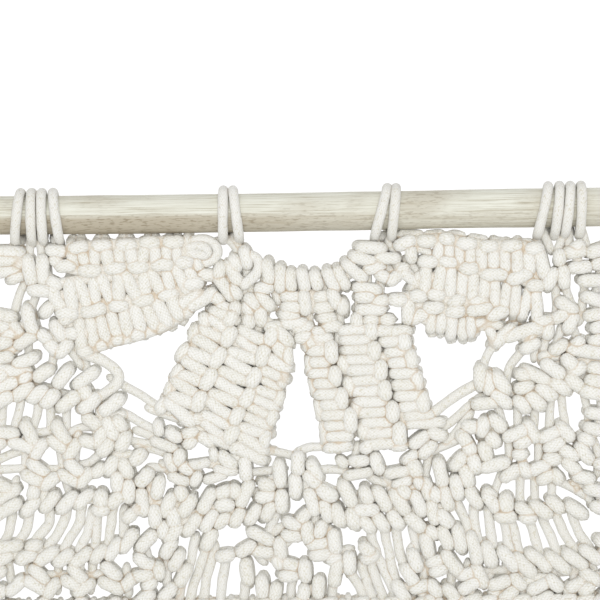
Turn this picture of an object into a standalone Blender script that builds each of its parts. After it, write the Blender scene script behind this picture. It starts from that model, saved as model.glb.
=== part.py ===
"""Macrame wall hanging of braided cotton cord, with the wooden rod it is looped over.

The frame is metres with +Z up. The origin is the middle of the rod's axis, X runs along
the rod, and the front of the hanging faces -Y. All the sizes below are in millimetres and
become metres where a shape is made.

Three pieces: the rod, the knotted cloth with its loops round the rod, and the fringe with
the bound edge that it is knotted into.
"""
import math
from collections import namedtuple

import bmesh
import bpy
from mathutils import Matrix, Vector

MM = 0.001

# ---- driving dimensions, millimetres -------------------------------------------------
CORD = 5.0                 # diameter of the braided cord
GAP = 0.3                  # clearance between one piece and the next

ROD_LENGTH = 400.0
ROD_RADIUS = 9.0
ROD_WANDER = 0.15          # how far the peeled branch departs from a true cylinder
ROD_STATIONS = 12

LOOP_CLEARANCE = 0.55      # from the rod's mean radius to the inside of a loop
LOOP_FOOT = -(ROD_RADIUS + LOOP_CLEARANCE + CORD / 2)   # height where a loop's ends leave it
LOOP_END = -27.0           # height where they enter the first knots
LOOP_GATHER = 0.98         # x there, against x at the rod
LOOP_SEGMENTS = 10
LOOP_SIDES = 4

HALF_WIDTH = 148.0         # of the knotted cloth, to its side edges
HEM_MIDDLE = -201.0        # height of the bottom bar's middle
HEM_HEIGHT = 8.0
HEM_PITCH = 20.0
BACKING_HEIGHT = 6.0       # bound edge that carries the fringe
FRINGE_LENGTH = 122.0
FRINGE_PITCH = 6.2
FRINGE_STRAND = 4.4        # a strand is four sided, this far across

STRAND_WEAVE = 0.7         # how far strands lie in front of and behind each other
RIDGE_DIP = 0.84           # radius between two knots of a bar, against that at a knot
BAR_SIDES = 6
STRAND_SIDES = 4
ROD_SIDES = 12
KNOT_DEPTH = 9.0
KNOT_END = 0.55            # width of a square knot's ends, against its own
BACKING_DEPTH = 6.0
FRINGE_SWAY = 1.1          # how far a fringe strand swings from straight
FRINGE_UNEVEN = 3.0        # and how much its length differs from the next one's
CURVE_STEP = 16.0          # longest straight run of a curved strand

SOLVER = "MANIFOLD"        # the exact solver leaves slivers where many cords cross
CLOTH_SHARE = 0.50         # of the faces that the union leaves, most of them slivers
FLAT_ANGLE = math.radians(2)

COTTON = (0.86, 0.83, 0.76, 1.0)
WOOD = (0.60, 0.55, 0.46, 1.0)

# ---- where the loops sit on the rod: x of each strand of the lark's heads -------------
LOOPS = [-133.4, -128.0, -122.5, -117.0, -36.2, -30.0, 37.8, 43.8, 115.6, 121.1, 126.7, 132.2]

# ---- bars: rows of square knots or of half hitches ------------------------------------
# name, width seen from the front, depth, pitch of the knots, and the points (x, z) of
# its centre line, joined by a smooth curve
Bar = namedtuple("Bar", "name width depth pitch path")
BARS = [
    Bar("left wing, upper", 16.5, 9.5, 11.4, [(-117, -20), (-80, -20), (-41, -19)]),
    Bar("left wing, middle", 15.5, 9.5, 11.4, [(-117, -38), (-85, -36), (-62, -33), (-38, -30)]),
    Bar("left wing, lower", 14.5, 9.5, 9.0, [(-112, -58), (-95, -54), (-72, -46), (-42, -35)]),
    Bar("right wing, upper", 14.5, 9.5, 10.8, [(46, -18), (80, -19), (118, -19)]),
    Bar("right wing, middle", 15.0, 9.5, 10.4, [(42, -29), (62, -32), (85, -36), (116, -37)]),
    Bar("right wing, lower", 14.5, 9.5, 10.0, [(42, -43), (62, -47), (85, -54), (112, -59)]),
    Bar("wrapped arc", 11.0, 9.0, 5.2, [(-27, -22), (-17, -27), (-3, -32), (9, -33), (19, -31),
                                        (29, -22)]),
    Bar("left petal, outer", 17.5, 9.0, 10.3, [(-34, -47), (-46, -70), (-57, -94)]),
    Bar("left petal, middle", 15.5, 9.0, 10.3, [(-22, -55), (-31, -82), (-38, -112)]),
    Bar("left petal, inner", 12.5, 9.0, 9.8, [(-12, -62), (-15, -85), (-21, -112)]),
    Bar("right petal, inner", 13.5, 9.0, 10.3, [(8, -63), (11, -85), (17, -112)]),
    Bar("right petal, middle", 15.0, 9.0, 10.3, [(24, -56), (29, -82), (34, -112)]),
    Bar("right petal, outer", 17.0, 9.0, 10.3, [(39, -46), (46, -68), (53, -96)]),
    Bar("left shoulder, upper", 9.0, 7.0, 9.2, [(-146, -79), (-123, -77), (-102, -79), (-88, -80)]),
    Bar("left shoulder, lower", 8.5, 7.0, 8.6, [(-146, -82), (-131, -84), (-118, -88), (-98, -90),
                                               (-88, -97), (-84, -110), (-80, -122), (-72, -133),
                                               (-60, -138)]),
    Bar("right shoulder, upper", 9.0, 7.0, 9.2, [(85, -81), (102, -79), (121, -80), (146, -81)]),
    Bar("right shoulder, lower", 8.5, 7.0, 8.6, [(146, -84), (130, -85), (116, -88), (98, -90),
                                                (88, -97), (83, -108), (74, -120), (64, -128),
                                                (56, -139)]),
    Bar("upper scallop", 8.5, 7.0, 8.6, [(-60, -138), (-45, -137), (-27, -135), (-15, -131),
                                         (-2, -119), (12, -132), (26, -134), (45, -138),
                                         (56, -139)]),
    Bar("lower scallop", 8.5, 7.0, 8.0, [(-66, -147), (-44, -146), (-23, -143), (-11, -137),
                                         (-2, -131), (8, -140), (23, -145), (43, -147),
                                         (66, -141)]),
    Bar("left band, upper", 8.5, 7.0, 8.6, [(-146, -139), (-121, -136), (-97, -138), (-80, -132)]),
    Bar("left band, lower", 8.5, 7.0, 8.6, [(-146, -162), (-121, -161), (-104, -163), (-84, -158)]),
    Bar("right band, upper", 8.5, 7.0, 8.6, [(74, -132), (86, -139), (98, -144), (113, -142),
                                            (146, -142)]),
    Bar("right band, lower", 8.5, 7.0, 8.6, [(80, -158), (90, -166), (106, -169), (121, -168),
                                            (146, -166)]),
    Bar("hem", HEM_HEIGHT, 7.5, HEM_PITCH, [(-HALF_WIDTH, HEM_MIDDLE), (HALF_WIDTH, HEM_MIDDLE)]),
]

# ---- single square knots: centre (x, z), width and height ------------------------------
Knot = namedtuple("Knot", "x z width height")
KNOTS = [
    Knot(-31, -32, 18, 18), Knot(37, -32, 18, 15),
    Knot(-17, -44, 13, 15), Knot(-2, -46, 13, 15), Knot(14, -47, 13, 18),
    Knot(-125, -27, 13, 14), Knot(122, -26, 13, 13),
    Knot(-130, -107, 12, 12), Knot(-115, -107, 12, 12), Knot(-101, -108, 12, 12),
    Knot(102, -106, 12, 12), Knot(116, -106, 12, 12), Knot(130, -107, 12, 12),
    Knot(-123, -122, 12, 12), Knot(-108, -122, 12, 12), Knot(95, -124, 12, 12),
    Knot(110, -124, 12, 12),
    Knot(-15, -156, 12, 12), Knot(9, -158, 12, 12), Knot(-2.5, -169, 13, 13),
]

# ---- strands: groups of equal strands side by side -------------------------------------
# number, spacing along x at the top and at the bottom, points (x, z) of the first one
Group = namedtuple("Group", "count top_pitch low_pitch path")
GROUPS = [
    Group(1, 0, 0, [(-99, -60), (-92, -73), (-88, -83)]),
    Group(1, 0, 0, [(-88, -82), (-70, -90), (-54, -94)]),
    Group(1, 0, 0, [(-88, -91), (-66, -108), (-42, -114)]),
    Group(2, 9, 8, [(94, -60), (87, -73), (86, -82)]),
    Group(1, 0, 0, [(86, -82), (74, -89), (62, -97), (50, -97)]),
    Group(1, 0, 0, [(86, -88), (66, -107), (42, -114)]),
    Group(1, 0, 0, [(-134, -14), (-143, -30), (-145, -80)]),
    Group(1, 0, 0, [(134, -14), (143, -30), (145, -82)]),
    Group(4, 15.0, 16.0, [(-17, -31), (-19, -60)]),
    Group(4, 9.0, 8.5, [(-133, -85), (-136, -108)]),
    Group(4, 9.0, 9.0, [(102, -86), (101, -108)]),
    Group(6, 9.8, 8.8, [(-134, -137), (-139, -162)]),
    Group(6, 10.4, 10.0, [(82, -138), (86, -164)]),
    Group(6, 10.0, 9.4, [(-64, -147), (-60, -163), (-58, -200)]),
    Group(6, 8.6, 9.4, [(22, -146), (24, -162), (12, -200)]),
    Group(2, 6, 16, [(-12, -143), (-18, -158), (-14, -172), (-20, -200)]),
    Group(2, 11, 12, [(-8, -134), (-8, -200)]),
    Group(3, 8, 7, [(-74, -134), (-84, -160), (-80, -200)]),
    Group(3, 8, 7, [(60, -140), (66, -160), (64, -200)]),
]

# ---- nets: strands that meet in pairs, first with one neighbour and then the other ------
# x of the first strand, strands, their pitch, how far each leans over, z of each meeting row
Net = namedtuple("Net", "x count pitch lean rows")
NETS = [
    Net(-135, 3, 10.0, 3.4, [-20, -34, -48, -62, -79]),
    Net(115, 3, 10.0, 3.4, [-20, -34, -48, -62, -80]),
    Net(-141, 6, 10.4, 3.4, [-106, -122, -138]),
    Net(90, 6, 10.4, 3.4, [-90, -106, -124, -142]),
    Net(-141, 6, 10.4, 3.4, [-161, -174, -187, -201]),
    Net(90, 6, 10.4, 3.4, [-166, -178, -189, -201]),
    Net(-64, 6, 9.6, 3.2, [-90, -104, -118, -137]),
    Net(12, 5, 9.6, 3.2, [-98, -110, -122, -137]),
]

# =======================================================================================


def smooth_path(points, step):
    """Points along a Catmull-Rom curve through the given (x, z), at most step apart."""
    ends = [points[0]] + list(points) + [points[-1]]
    path = [points[0]]
    for before, start, end, after in zip(ends, ends[1:], ends[2:], ends[3:]):
        count = max(1, math.ceil(math.dist(start, end) / step))
        for i in range(1, count + 1):
            t = i / count
            path.append(tuple(
                0.5 * (2 * b + (c - a) * t + (2 * a - 5 * b + 4 * c - d) * t * t
                       + (3 * b - a - 3 * c + d) * t ** 3)
                for a, b, c, d in zip(before, start, end, after)))
    return path


def material(name, colour, roughness):
    mat = bpy.data.materials.new(name)
    mat.use_nodes = True
    shader = mat.node_tree.nodes["Principled BSDF"]
    shader.inputs["Base Color"].default_value = colour
    shader.inputs["Roughness"].default_value = roughness
    shader.inputs["Metallic"].default_value = 0.0
    return mat


def tube(name, points, radii, sides, collection):
    """A capped tube as a curve: a poly spline through points in millimetres (x, y, z)."""
    curve = bpy.data.curves.new(name, "CURVE")
    curve.dimensions = "3D"
    curve.bevel_depth = 1.0
    curve.bevel_resolution = (sides - 4) // 2
    curve.use_fill_caps = True
    spline = curve.splines.new("POLY")
    spline.points.add(len(points) - 1)
    for knot, point, radius in zip(spline.points, points, radii):
        knot.co = (*(Vector(point) * MM), 1.0)
        knot.radius = radius * MM
    obj = bpy.data.objects.new(name, curve)
    collection.objects.link(obj)
    return obj


def tube_mesh(curve_object):
    """Turn a tube into a closed mesh object in the same place, and drop the curve."""
    bpy.context.view_layer.update()
    evaluated = curve_object.evaluated_get(bpy.context.evaluated_depsgraph_get())
    mesh = bpy.data.meshes.new_from_object(evaluated)
    bm = bmesh.new()
    bm.from_mesh(mesh)
    bmesh.ops.remove_doubles(bm, verts=bm.verts, dist=1e-6)
    bmesh.ops.recalc_face_normals(bm, faces=bm.faces)
    bm.to_mesh(mesh)
    bm.free()
    name = curve_object.name
    place = curve_object.matrix_world.copy()
    home = curve_object.users_collection[0]
    bpy.data.objects.remove(curve_object)
    obj = bpy.data.objects.new(name, mesh)
    obj.matrix_world = place
    home.objects.link(obj)
    return obj


def area_factor(sides):
    """Corner radius of a many-sided tube with the section area of a round one, against its."""
    return math.sqrt(2 * math.pi / (sides * math.sin(2 * math.pi / sides)))


def strand(path, collection, radius=CORD / 2, y=0.0):
    """One free strand of cord through points (x, z), y behind the middle of the cloth."""
    points = [(x, y, z) for x, z in smooth_path(path, CURVE_STEP)]
    corner = radius * area_factor(STRAND_SIDES)
    return tube_mesh(tube("strand", points, [corner] * len(points), STRAND_SIDES, collection))


def ridged_bar(bar, collection):
    """A bar of knots: a flattened tube, thick at each knot and thin between two."""
    path = smooth_path(bar.path, bar.pitch / 2)
    points = [(x, 0.0, z) for x, z in path]
    corner = bar.width / 2 * area_factor(BAR_SIDES)
    radii = [corner * (1.0 if i % 2 else RIDGE_DIP) for i in range(len(points))]
    obj = tube_mesh(tube(bar.name, points, radii, BAR_SIDES, collection))
    obj.data.transform(Matrix.Diagonal((1.0, bar.depth / bar.width, 1.0, 1.0)))
    return obj


def square_knot(knot, collection):
    """A single knot: an upright ridged lump, widest at the two crossings it is made of."""
    half = knot.height / 2
    rings = [(half, KNOT_END), (half / 2, 1.0), (0.0, RIDGE_DIP), (-half / 2, 1.0),
             (-half, KNOT_END)]
    points = [(knot.x, 0.0, knot.z + dz) for dz, _ in rings]
    radii = [knot.width / 2 * area_factor(BAR_SIDES) * share for _, share in rings]
    obj = tube_mesh(tube("knot", points, radii, BAR_SIDES, collection))
    obj.data.transform(Matrix.Diagonal((1.0, KNOT_DEPTH / knot.width, 1.0, 1.0)))
    return obj


def rod_loop(x, collection):
    """One strand of a lark's head, as a ring round the rod."""
    radius = ROD_RADIUS + LOOP_CLEARANCE + CORD / 2
    bpy.ops.mesh.primitive_torus_add(
        major_segments=LOOP_SEGMENTS, minor_segments=LOOP_SIDES,
        major_radius=radius * MM / math.cos(math.pi / LOOP_SEGMENTS),
        minor_radius=CORD / 2 * MM, location=(x * MM, 0, 0), rotation=(0, math.pi / 2, 0))
    obj = bpy.context.object
    obj.name = "loop"
    obj.data.transform(obj.matrix_world)
    obj.matrix_world = Matrix.Identity(4)
    for other in obj.users_collection:
        other.objects.unlink(obj)
    collection.objects.link(obj)
    return obj


def net_strands(net):
    """The (x, z) paths of a net's strands, which lean in pairs towards each other."""
    for k in range(net.count):
        yield [(net.x + net.pitch * k + net.lean * (1 if (k + row) % 2 == 0 else -1), z)
               for row, z in enumerate(net.rows)]


def group_strands(group):
    """The (x, z) paths of strands side by side, spread or gathered towards the bottom."""
    top, bottom = group.path[0][1], group.path[-1][1]
    for k in range(group.count):
        yield [(x + k * (group.top_pitch + (group.low_pitch - group.top_pitch)
                         * (z - top) / (bottom - top)), z) for x, z in group.path]


def shells(bm):
    """The connected shells of a mesh, each as a list of faces."""
    left = set(bm.faces)
    while left:
        stack = [left.pop()]
        shell = []
        while stack:
            face = stack.pop()
            shell.append(face)
            for edge in face.edges:
                for neighbour in edge.link_faces:
                    if neighbour in left:
                        left.remove(neighbour)
                        stack.append(neighbour)
        yield shell


def fill_voids(mesh):
    """Make a body solid where cords close round a small void: drop the void's shell."""
    bm = bmesh.new()
    bm.from_mesh(mesh)
    bmesh.ops.triangulate(bm, faces=bm.faces)
    for shell in list(shells(bm)):
        volume = sum(a.co.dot(b.co.cross(c.co)) for a, b, c in (face.verts for face in shell))
        if volume < 0:
            corners = {vert for face in shell for vert in face.verts}
            bmesh.ops.delete(bm, geom=list(corners), context="VERTS")
    bmesh.ops.dissolve_limit(bm, angle_limit=FLAT_ANGLE, verts=bm.verts, edges=bm.edges,
                             use_dissolve_boundaries=False)
    bm.to_mesh(mesh)
    bm.free()


def thin_out(body, share):
    """Collapse the slivers that many crossing cords leave, keeping this share of the faces."""
    decimate = body.modifiers.new("thin out", "DECIMATE")
    decimate.ratio = share
    bpy.context.view_layer.update()
    mesh = bpy.data.meshes.new_from_object(
        body.evaluated_get(bpy.context.evaluated_depsgraph_get()))
    body.modifiers.clear()
    body.data = mesh


def unite(pieces, name, mat, share=1.0):
    """Fuse overlapping pieces into one closed body."""
    body = pieces[0]
    body.name = name
    body.data.name = name
    for other in pieces[1:]:
        union = body.modifiers.new("union", "BOOLEAN")
        union.operation = "UNION"
        union.solver = SOLVER
        union.object = other
        bpy.context.view_layer.update()
        mesh = bpy.data.meshes.new_from_object(
            body.evaluated_get(bpy.context.evaluated_depsgraph_get()))
        body.modifiers.clear()
        body.data = mesh
        bpy.data.objects.remove(other)
    fill_voids(body.data)
    if share < 1.0:
        thin_out(body, share)
    body.data.name = name
    body.data.materials.clear()
    body.data.materials.append(mat)
    return body


for old in list(bpy.data.objects):
    bpy.data.objects.remove(old)
parts = bpy.data.collections.new("macrame wall hanging")
bpy.context.scene.collection.children.link(parts)

cotton = material("cotton cord", COTTON, 0.9)
wood = material("pale wood", WOOD, 0.75)

# ---- the rod: a peeled branch, sawn square at both ends ---------------------------------
stations = [ROD_LENGTH * (i / ROD_STATIONS - 0.5) for i in range(ROD_STATIONS + 1)]
rod_radii = [ROD_RADIUS + ROD_WANDER * math.sin(1.7 * i + 0.6) for i in range(len(stations))]
rod = tube_mesh(tube("rod", [(x, 0, 0) for x in stations], rod_radii, ROD_SIDES, parts))
rod.data.materials.append(wood)
rod.data.shade_smooth()
rod.data.set_sharp_from_angle(angle=math.radians(40))

# ---- the knotted cloth --------------------------------------------------------------------
cloth = [ridged_bar(bar, parts) for bar in BARS]
cloth += [square_knot(knot, parts) for knot in KNOTS]
runs = [path for group in GROUPS for path in group_strands(group)]
runs += [path for net in NETS for path in net_strands(net)]
cloth += [strand(path, parts, y=STRAND_WEAVE * math.sin(2.1 * i)) for i, path in enumerate(runs)]
cloth = unite(cloth, "macrame", cotton, CLOTH_SHARE)
loops = [rod_loop(x, parts) for x in LOOPS]
loops += [strand([(x, LOOP_FOOT), (x * LOOP_GATHER, LOOP_END)], parts) for x in LOOPS]
unite([cloth] + loops, "macrame", cotton)

# ---- the fringe: strands knotted into a bound edge under the hem --------------------------
flat = area_factor(BAR_SIDES) * math.cos(math.pi / BAR_SIDES)   # of a bar's half width
edge_middle = HEM_MIDDLE - flat * (HEM_HEIGHT + BACKING_HEIGHT) / 2 - GAP
backing = Bar("fringe", BACKING_HEIGHT, BACKING_DEPTH, HEM_PITCH,
              [(-HALF_WIDTH, edge_middle), (HALF_WIDTH, edge_middle)])
lengths = [ridged_bar(backing, parts)]
count = int(2 * (HALF_WIDTH - CORD) / FRINGE_PITCH)
for k in range(count + 1):
    x = (k - count / 2) * FRINGE_PITCH
    sway = FRINGE_SWAY * math.sin(2.3 * k)
    end = edge_middle - FRINGE_LENGTH - FRINGE_UNEVEN * math.sin(1.9 * k)
    lengths.append(strand([(x, edge_middle), (x + sway, (edge_middle + end) / 2), (x - sway, end)],
                          parts, FRINGE_STRAND / 2))
unite(lengths, "fringe", cotton)
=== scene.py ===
import math

import bmesh
import bpy
import numpy as np
from mathutils import Matrix, Vector, noise


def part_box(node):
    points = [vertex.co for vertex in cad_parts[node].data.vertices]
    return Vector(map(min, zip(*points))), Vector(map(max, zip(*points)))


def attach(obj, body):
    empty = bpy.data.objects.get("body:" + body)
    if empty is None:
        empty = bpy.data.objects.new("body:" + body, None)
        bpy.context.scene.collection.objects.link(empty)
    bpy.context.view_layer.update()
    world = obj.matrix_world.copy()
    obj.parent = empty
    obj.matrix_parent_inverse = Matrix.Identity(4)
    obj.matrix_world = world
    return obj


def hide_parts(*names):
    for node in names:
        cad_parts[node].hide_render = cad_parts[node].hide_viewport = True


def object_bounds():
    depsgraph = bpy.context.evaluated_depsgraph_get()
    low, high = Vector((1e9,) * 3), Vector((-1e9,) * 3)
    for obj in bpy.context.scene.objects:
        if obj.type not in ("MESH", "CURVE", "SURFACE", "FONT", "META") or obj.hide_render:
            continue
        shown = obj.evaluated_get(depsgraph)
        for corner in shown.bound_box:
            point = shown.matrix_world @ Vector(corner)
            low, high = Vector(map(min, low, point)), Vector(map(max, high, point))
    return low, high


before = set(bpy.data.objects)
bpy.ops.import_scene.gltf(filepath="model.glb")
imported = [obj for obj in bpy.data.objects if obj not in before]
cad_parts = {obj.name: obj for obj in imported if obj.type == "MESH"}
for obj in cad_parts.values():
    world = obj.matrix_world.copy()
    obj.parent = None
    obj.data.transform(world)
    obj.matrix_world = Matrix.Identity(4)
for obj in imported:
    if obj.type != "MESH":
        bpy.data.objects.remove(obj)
cad_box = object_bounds()
MM = 0.001

# ---- Rod ---------------------------------------------------------------------------------
# A straight peeled branch of pale wood, limed and left unvarnished, sawn square at both ends.
# It was planed by hand, so it wanders a little and shows long streaks of grain. The hanging
# is knotted straight onto it.
ROD_SIDES = 64
ROD_CUTS = 260
ROD_RADIUS = 9.15
ROD_EASED_EDGE = 0.8
ROD_SWELL = 0.22                          # how far the branch swells and thins, mm
ROD_SWELLS_PER_METRE = Vector((22, 60, 60))
ROD_STREAK = 0.10                         # how far the streaks of its grain stand up, mm
ROD_STREAKS_PER_METRE = Vector((60, 420, 420))
ROD_BEND = 0.6                            # how far it dips left of the middle, mm
ROD_BEND_CENTRE, ROD_BEND_REACH = -0.05, 0.09
GRAIN_PER_METRE = (22, 1300, 1300)
GRAIN_TILT = (0, 0.035, 0.03)
GRAIN_TONES = [(0.34, (0.42, 0.375, 0.275, 1)), (0.46, (0.70, 0.69, 0.595, 1)),
               (0.60, (0.81, 0.81, 0.725, 1))]     # place in the ramp, colour
PORES_PER_METRE = (300, 1400, 1400)
PATCHES_PER_METRE = 26
# colour of the worn patches and of the painted shade along the underside
WORN_AND_SHADED_TONE = (0.47, 0.415, 0.315, 1)
FLECK_TONE = (0.33, 0.28, 0.20, 1)
GRAIN_RELIEF = 0.0003                     # m

rod_low, rod_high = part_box("rod")
rod_length = rod_high[0] - rod_low[0]
rod_mesh = bpy.data.meshes.new("peeled_branch")
bm = bmesh.new()
bmesh.ops.create_cone(bm, cap_ends=True, cap_tris=False, segments=ROD_SIDES,
                      radius1=ROD_RADIUS * MM, radius2=ROD_RADIUS * MM, depth=rod_length,
                      matrix=Matrix.Rotation(math.pi / 2, 4, "Y"))
rims = [edge for edge in bm.edges if abs(edge.verts[0].co.x - edge.verts[1].co.x) < MM]
bmesh.ops.bevel(bm, geom=rims, offset=ROD_EASED_EDGE * MM, offset_type="OFFSET", affect="EDGES",
                segments=3, profile=0.5, material=-1)
long_edges = [edge for edge in bm.edges
              if abs(edge.verts[0].co.x - edge.verts[1].co.x) > rod_length / 2]
bmesh.ops.subdivide_edges(bm, edges=long_edges, cuts=ROD_CUTS, use_grid_fill=True)
for vert in bm.verts:
    swell = (ROD_SWELL * noise.noise(vert.co * ROD_SWELLS_PER_METRE)
             + ROD_STREAK * noise.noise(vert.co * ROD_STREAKS_PER_METRE))
    radius = math.hypot(vert.co.y, vert.co.z)
    vert.co.y += vert.co.y / radius * swell * MM
    vert.co.z += vert.co.z / radius * swell * MM
    dip = math.exp(-((vert.co.x - ROD_BEND_CENTRE) / ROD_BEND_REACH) ** 2)
    vert.co.z -= ROD_BEND * MM * dip
bmesh.ops.recalc_face_normals(bm, faces=bm.faces)
for face in bm.faces:
    face.smooth = len(face.verts) == 4
bm.to_mesh(rod_mesh)
bm.free()
rod_wood = bpy.data.objects.new("rod_wood", rod_mesh)
bpy.context.scene.collection.objects.link(rod_wood)


def feed(tree, node, inputs):
    """Sets a node's inputs. Another node's output is linked, and anything else is a value."""
    for name, value in inputs.items():
        if isinstance(value, bpy.types.NodeSocket):
            tree.links.new(value, node.inputs[name])
        else:
            node.inputs[name].default_value = value


def add_node(tree, kind, inputs=None, **settings):
    """A shader node with its settings and inputs."""
    node = tree.nodes.new("ShaderNode" + kind)
    for name, value in settings.items():
        setattr(node, name, value)
    feed(tree, node, inputs or {})
    return node


def clouds(tree, vector, scale, detail, **more):
    """A noise from 0 to 1. A vector in metres and a scale of 100 give clouds of about 10 mm."""
    inputs = {"Vector": vector, "Scale": scale, "Detail": detail, **more}
    return add_node(tree, "TexNoise", inputs).outputs["Fac"]


def ranged(tree, value, low, high, to_low=0.0, to_high=1.0, **settings):
    """A value that runs from low to high, made to run from to_low to to_high."""
    inputs = {"Value": value, "From Min": low, "From Max": high, "To Min": to_low, "To Max": to_high}
    return add_node(tree, "MapRange", inputs, **settings).outputs["Result"]


def mixed(tree, share, first, second):
    """The first colour, with a share of the second in it."""
    inputs = {"Factor": share, "A": first, "B": second}
    return add_node(tree, "Mix", inputs, data_type="RGBA").outputs["Result"]


def sum_of(tree, operation, *values):
    """What an operation makes of sockets and numbers."""
    return add_node(tree, "Math", dict(enumerate(values)), operation=operation).outputs["Value"]


# Its tones follow the grain. It is worn darker in patches, and painted shade darkens its
# underside, most at the left; dark pores show in the worn patches and in that painted shade.
wood = bpy.data.materials.new("limed_wood")
wood.use_nodes = True
tree = wood.node_tree
place = add_node(tree, "TexCoord").outputs["Object"]
along = add_node(tree, "Mapping", {"Vector": place, "Scale": GRAIN_PER_METRE, "Rotation": GRAIN_TILT})
grain = clouds(tree, along.outputs["Vector"], 1.4, 6, Roughness=0.7, Distortion=0.5)
tones = add_node(tree, "ValToRGB", {"Fac": grain})
tones.color_ramp.elements.new(GRAIN_TONES[1][0])
for element, (position, tone) in zip(tones.color_ramp.elements, GRAIN_TONES):
    element.position = position
    element.color = tone
across = add_node(tree, "Mapping", {"Vector": place, "Scale": PORES_PER_METRE})
pores = ranged(tree, clouds(tree, across.outputs["Vector"], 1.0, 3), 0.54, 0.64)
patches = ranged(tree, clouds(tree, place, PATCHES_PER_METRE, 2), 0.5, 0.72, to_high=0.45)
metres = add_node(tree, "SeparateXYZ", {"Vector": place})
# painted shade: the underside turns darker further down, most at the left
painted_underside_shade = ranged(tree, metres.outputs["Z"], -0.0002, -0.0030, to_high=0.9)
leftward = ranged(tree, metres.outputs["X"], 0.06, -0.06, to_low=0.35)
# real worn patches or the painted underside shade, whichever is stronger
wear_and_painted_shade = sum_of(tree, "MAXIMUM", sum_of(tree, "MULTIPLY", painted_underside_shade, leftward), patches)
flecks = sum_of(tree, "MULTIPLY", pores, wear_and_painted_shade)
worn_and_shaded = mixed(tree, wear_and_painted_shade, tones.outputs["Color"], WORN_AND_SHADED_TONE)
relief = add_node(tree, "Bump", {"Height": grain, "Distance": GRAIN_RELIEF, "Strength": 0.7})
feed(tree, tree.nodes["Principled BSDF"],
     {"Base Color": mixed(tree, flecks, worn_and_shaded, FLECK_TONE),
      "Roughness": ranged(tree, grain, 0, 1, 0.62, 0.85),
      "Normal": relief.outputs["Normal"],
      "Specular IOR Level": 0.25})
rod_wood.data.materials.append(wood)
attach(rod_wood, "root")
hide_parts("rod")

# ---- Loops on the rod --------------------------------------------------------------------
# Lark's heads: each cord is folded in two, its loop goes over the rod from the front and its
# two ends are drawn through under it. The cord is plaited cotton, about 5 mm thick, undyed.
CORD_RADIUS = 2.4
LOOP_RADIUS = 10.6
LOOP_FALL = 23                # how far a loop comes down from its top to its foot, mm
PRESSED = 0.16                # how much flatter than round a cord lies
CREASE_REACH = 6.0            # how far round a cord its neighbours are looked for, mm
UNEVEN = 0.03                 # how much a cord swells and thins along its run
LONG_WAVE, SHORT_WAVE = 3.1, 1.3
YARNS, PITCH = 12, 1.8        # yarns each way round the plait, and mm from one to the next
PLAIT_RELIEF = 0.00028        # m
FIBRES_PER_METRE, FIBRE_RELIEF, FIBRE_SHADE = 1500, 0.55, 0.9
LUMPS_PER_METRE, LUMP_RELIEF = 330, 0.9
# dark specks of painted shadow in small pits of the plait
PIT_SHADOWS_PER_METRE, PIT_SHADE = 900, 0.72
# patches in which the painted crease shade is stronger or weaker
CREASE_SHADE_PATCHES_PER_METRE = 85
# painted shade in the furrows between yarns, and a share of each cord's own tint
FURROW_SHADE, TINT_SHADE = 0.46, 0.18
CREAM = (0.887, 0.881, 0.850, 1)
# the darker cream of the painted shade in furrows and pits, which each cord's tint and fibres also lean
# to
SHADED_CREAM = (0.72, 0.69, 0.58, 1)
# the warm colour of painted shade in the creases between cords
CREASE_SHADE_TONE = (0.665, 0.555, 0.42, 1)
LOOPS = [   # where each stands on the rod, and where its foot is, along the rod, mm
    (-131.6, -134.4), (-126.4, -126.4), (-121.6, -121.1), (-116.3, -113.4), (-35.6, -36),
    (-31.1, -28.4), (42.1, 35.8), (46.2, 43.8), (118.3, 112.9), (123.6, 121), (128.7, 125.9),
    (133.8, 132.8)]


def length_along(path):
    """How far along the path each of its points is."""
    return np.concatenate([[0], np.cumsum(np.linalg.norm(np.diff(path, axis=0), axis=1))])


def smooth_path(points, step):
    """A smooth run through the given points, in mm, with a point every step or so."""
    points = np.array(points, float)
    ends = np.vstack([2 * points[0] - points[1], points, 2 * points[-1] - points[-2]])
    t = np.linspace(0, 1, 10, endpoint=False)[:, None]
    runs = [0.5 * (2 * b + (c - a) * t + (2 * a - 5 * b + 4 * c - d) * t ** 2
                   + (3 * b - a - 3 * c + d) * t ** 3)
            for a, b, c, d in zip(ends, ends[1:], ends[2:], ends[3:])]
    dense = np.vstack(runs + [points[-1:]])
    run = length_along(dense[:, :3])
    even = np.linspace(0, run[-1], max(4, int(round(run[-1] / step)) + 1))
    return np.column_stack([np.interp(even, run, dense[:, i]) for i in range(dense.shape[1])])


laid_axes, laid_widths = [], []      # every cord laid so far: its middle line and its radii, mm


def room_round(spots, axes, widths, sides):
    """How far each point of a piece's cords is from the nearest other cord, in mm, so that painted
    shade can darken the creases between cords. The press is undone first, which makes them round."""
    rounded = (1, 1 / (1 - PRESSED), 1)
    spots = spots * rounded
    every = np.vstack(axes + laid_axes) * rounded
    width = np.concatenate(widths + laid_widths)
    owner = np.full(len(every), -1)
    owner[:sum(map(len, axes))] = np.repeat(np.arange(len(axes)), [len(axis) for axis in axes])
    room = np.full(len(spots), CREASE_REACH)
    start = 0
    for index, axis in enumerate(axes):
        own = spots[start:start + len(axis) * sides]
        near = (every > own.min(axis=0) - CREASE_REACH).all(axis=1)
        near &= (every < own.max(axis=0) + CREASE_REACH).all(axis=1)
        near &= owner != index
        if near.any():
            gaps = np.linalg.norm(own[:, None] - every[near][None], axis=2) - width[near]
            room[start:start + len(own)] = np.minimum(gaps.min(axis=1), CREASE_REACH)
        start += len(own)
    return room


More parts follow.
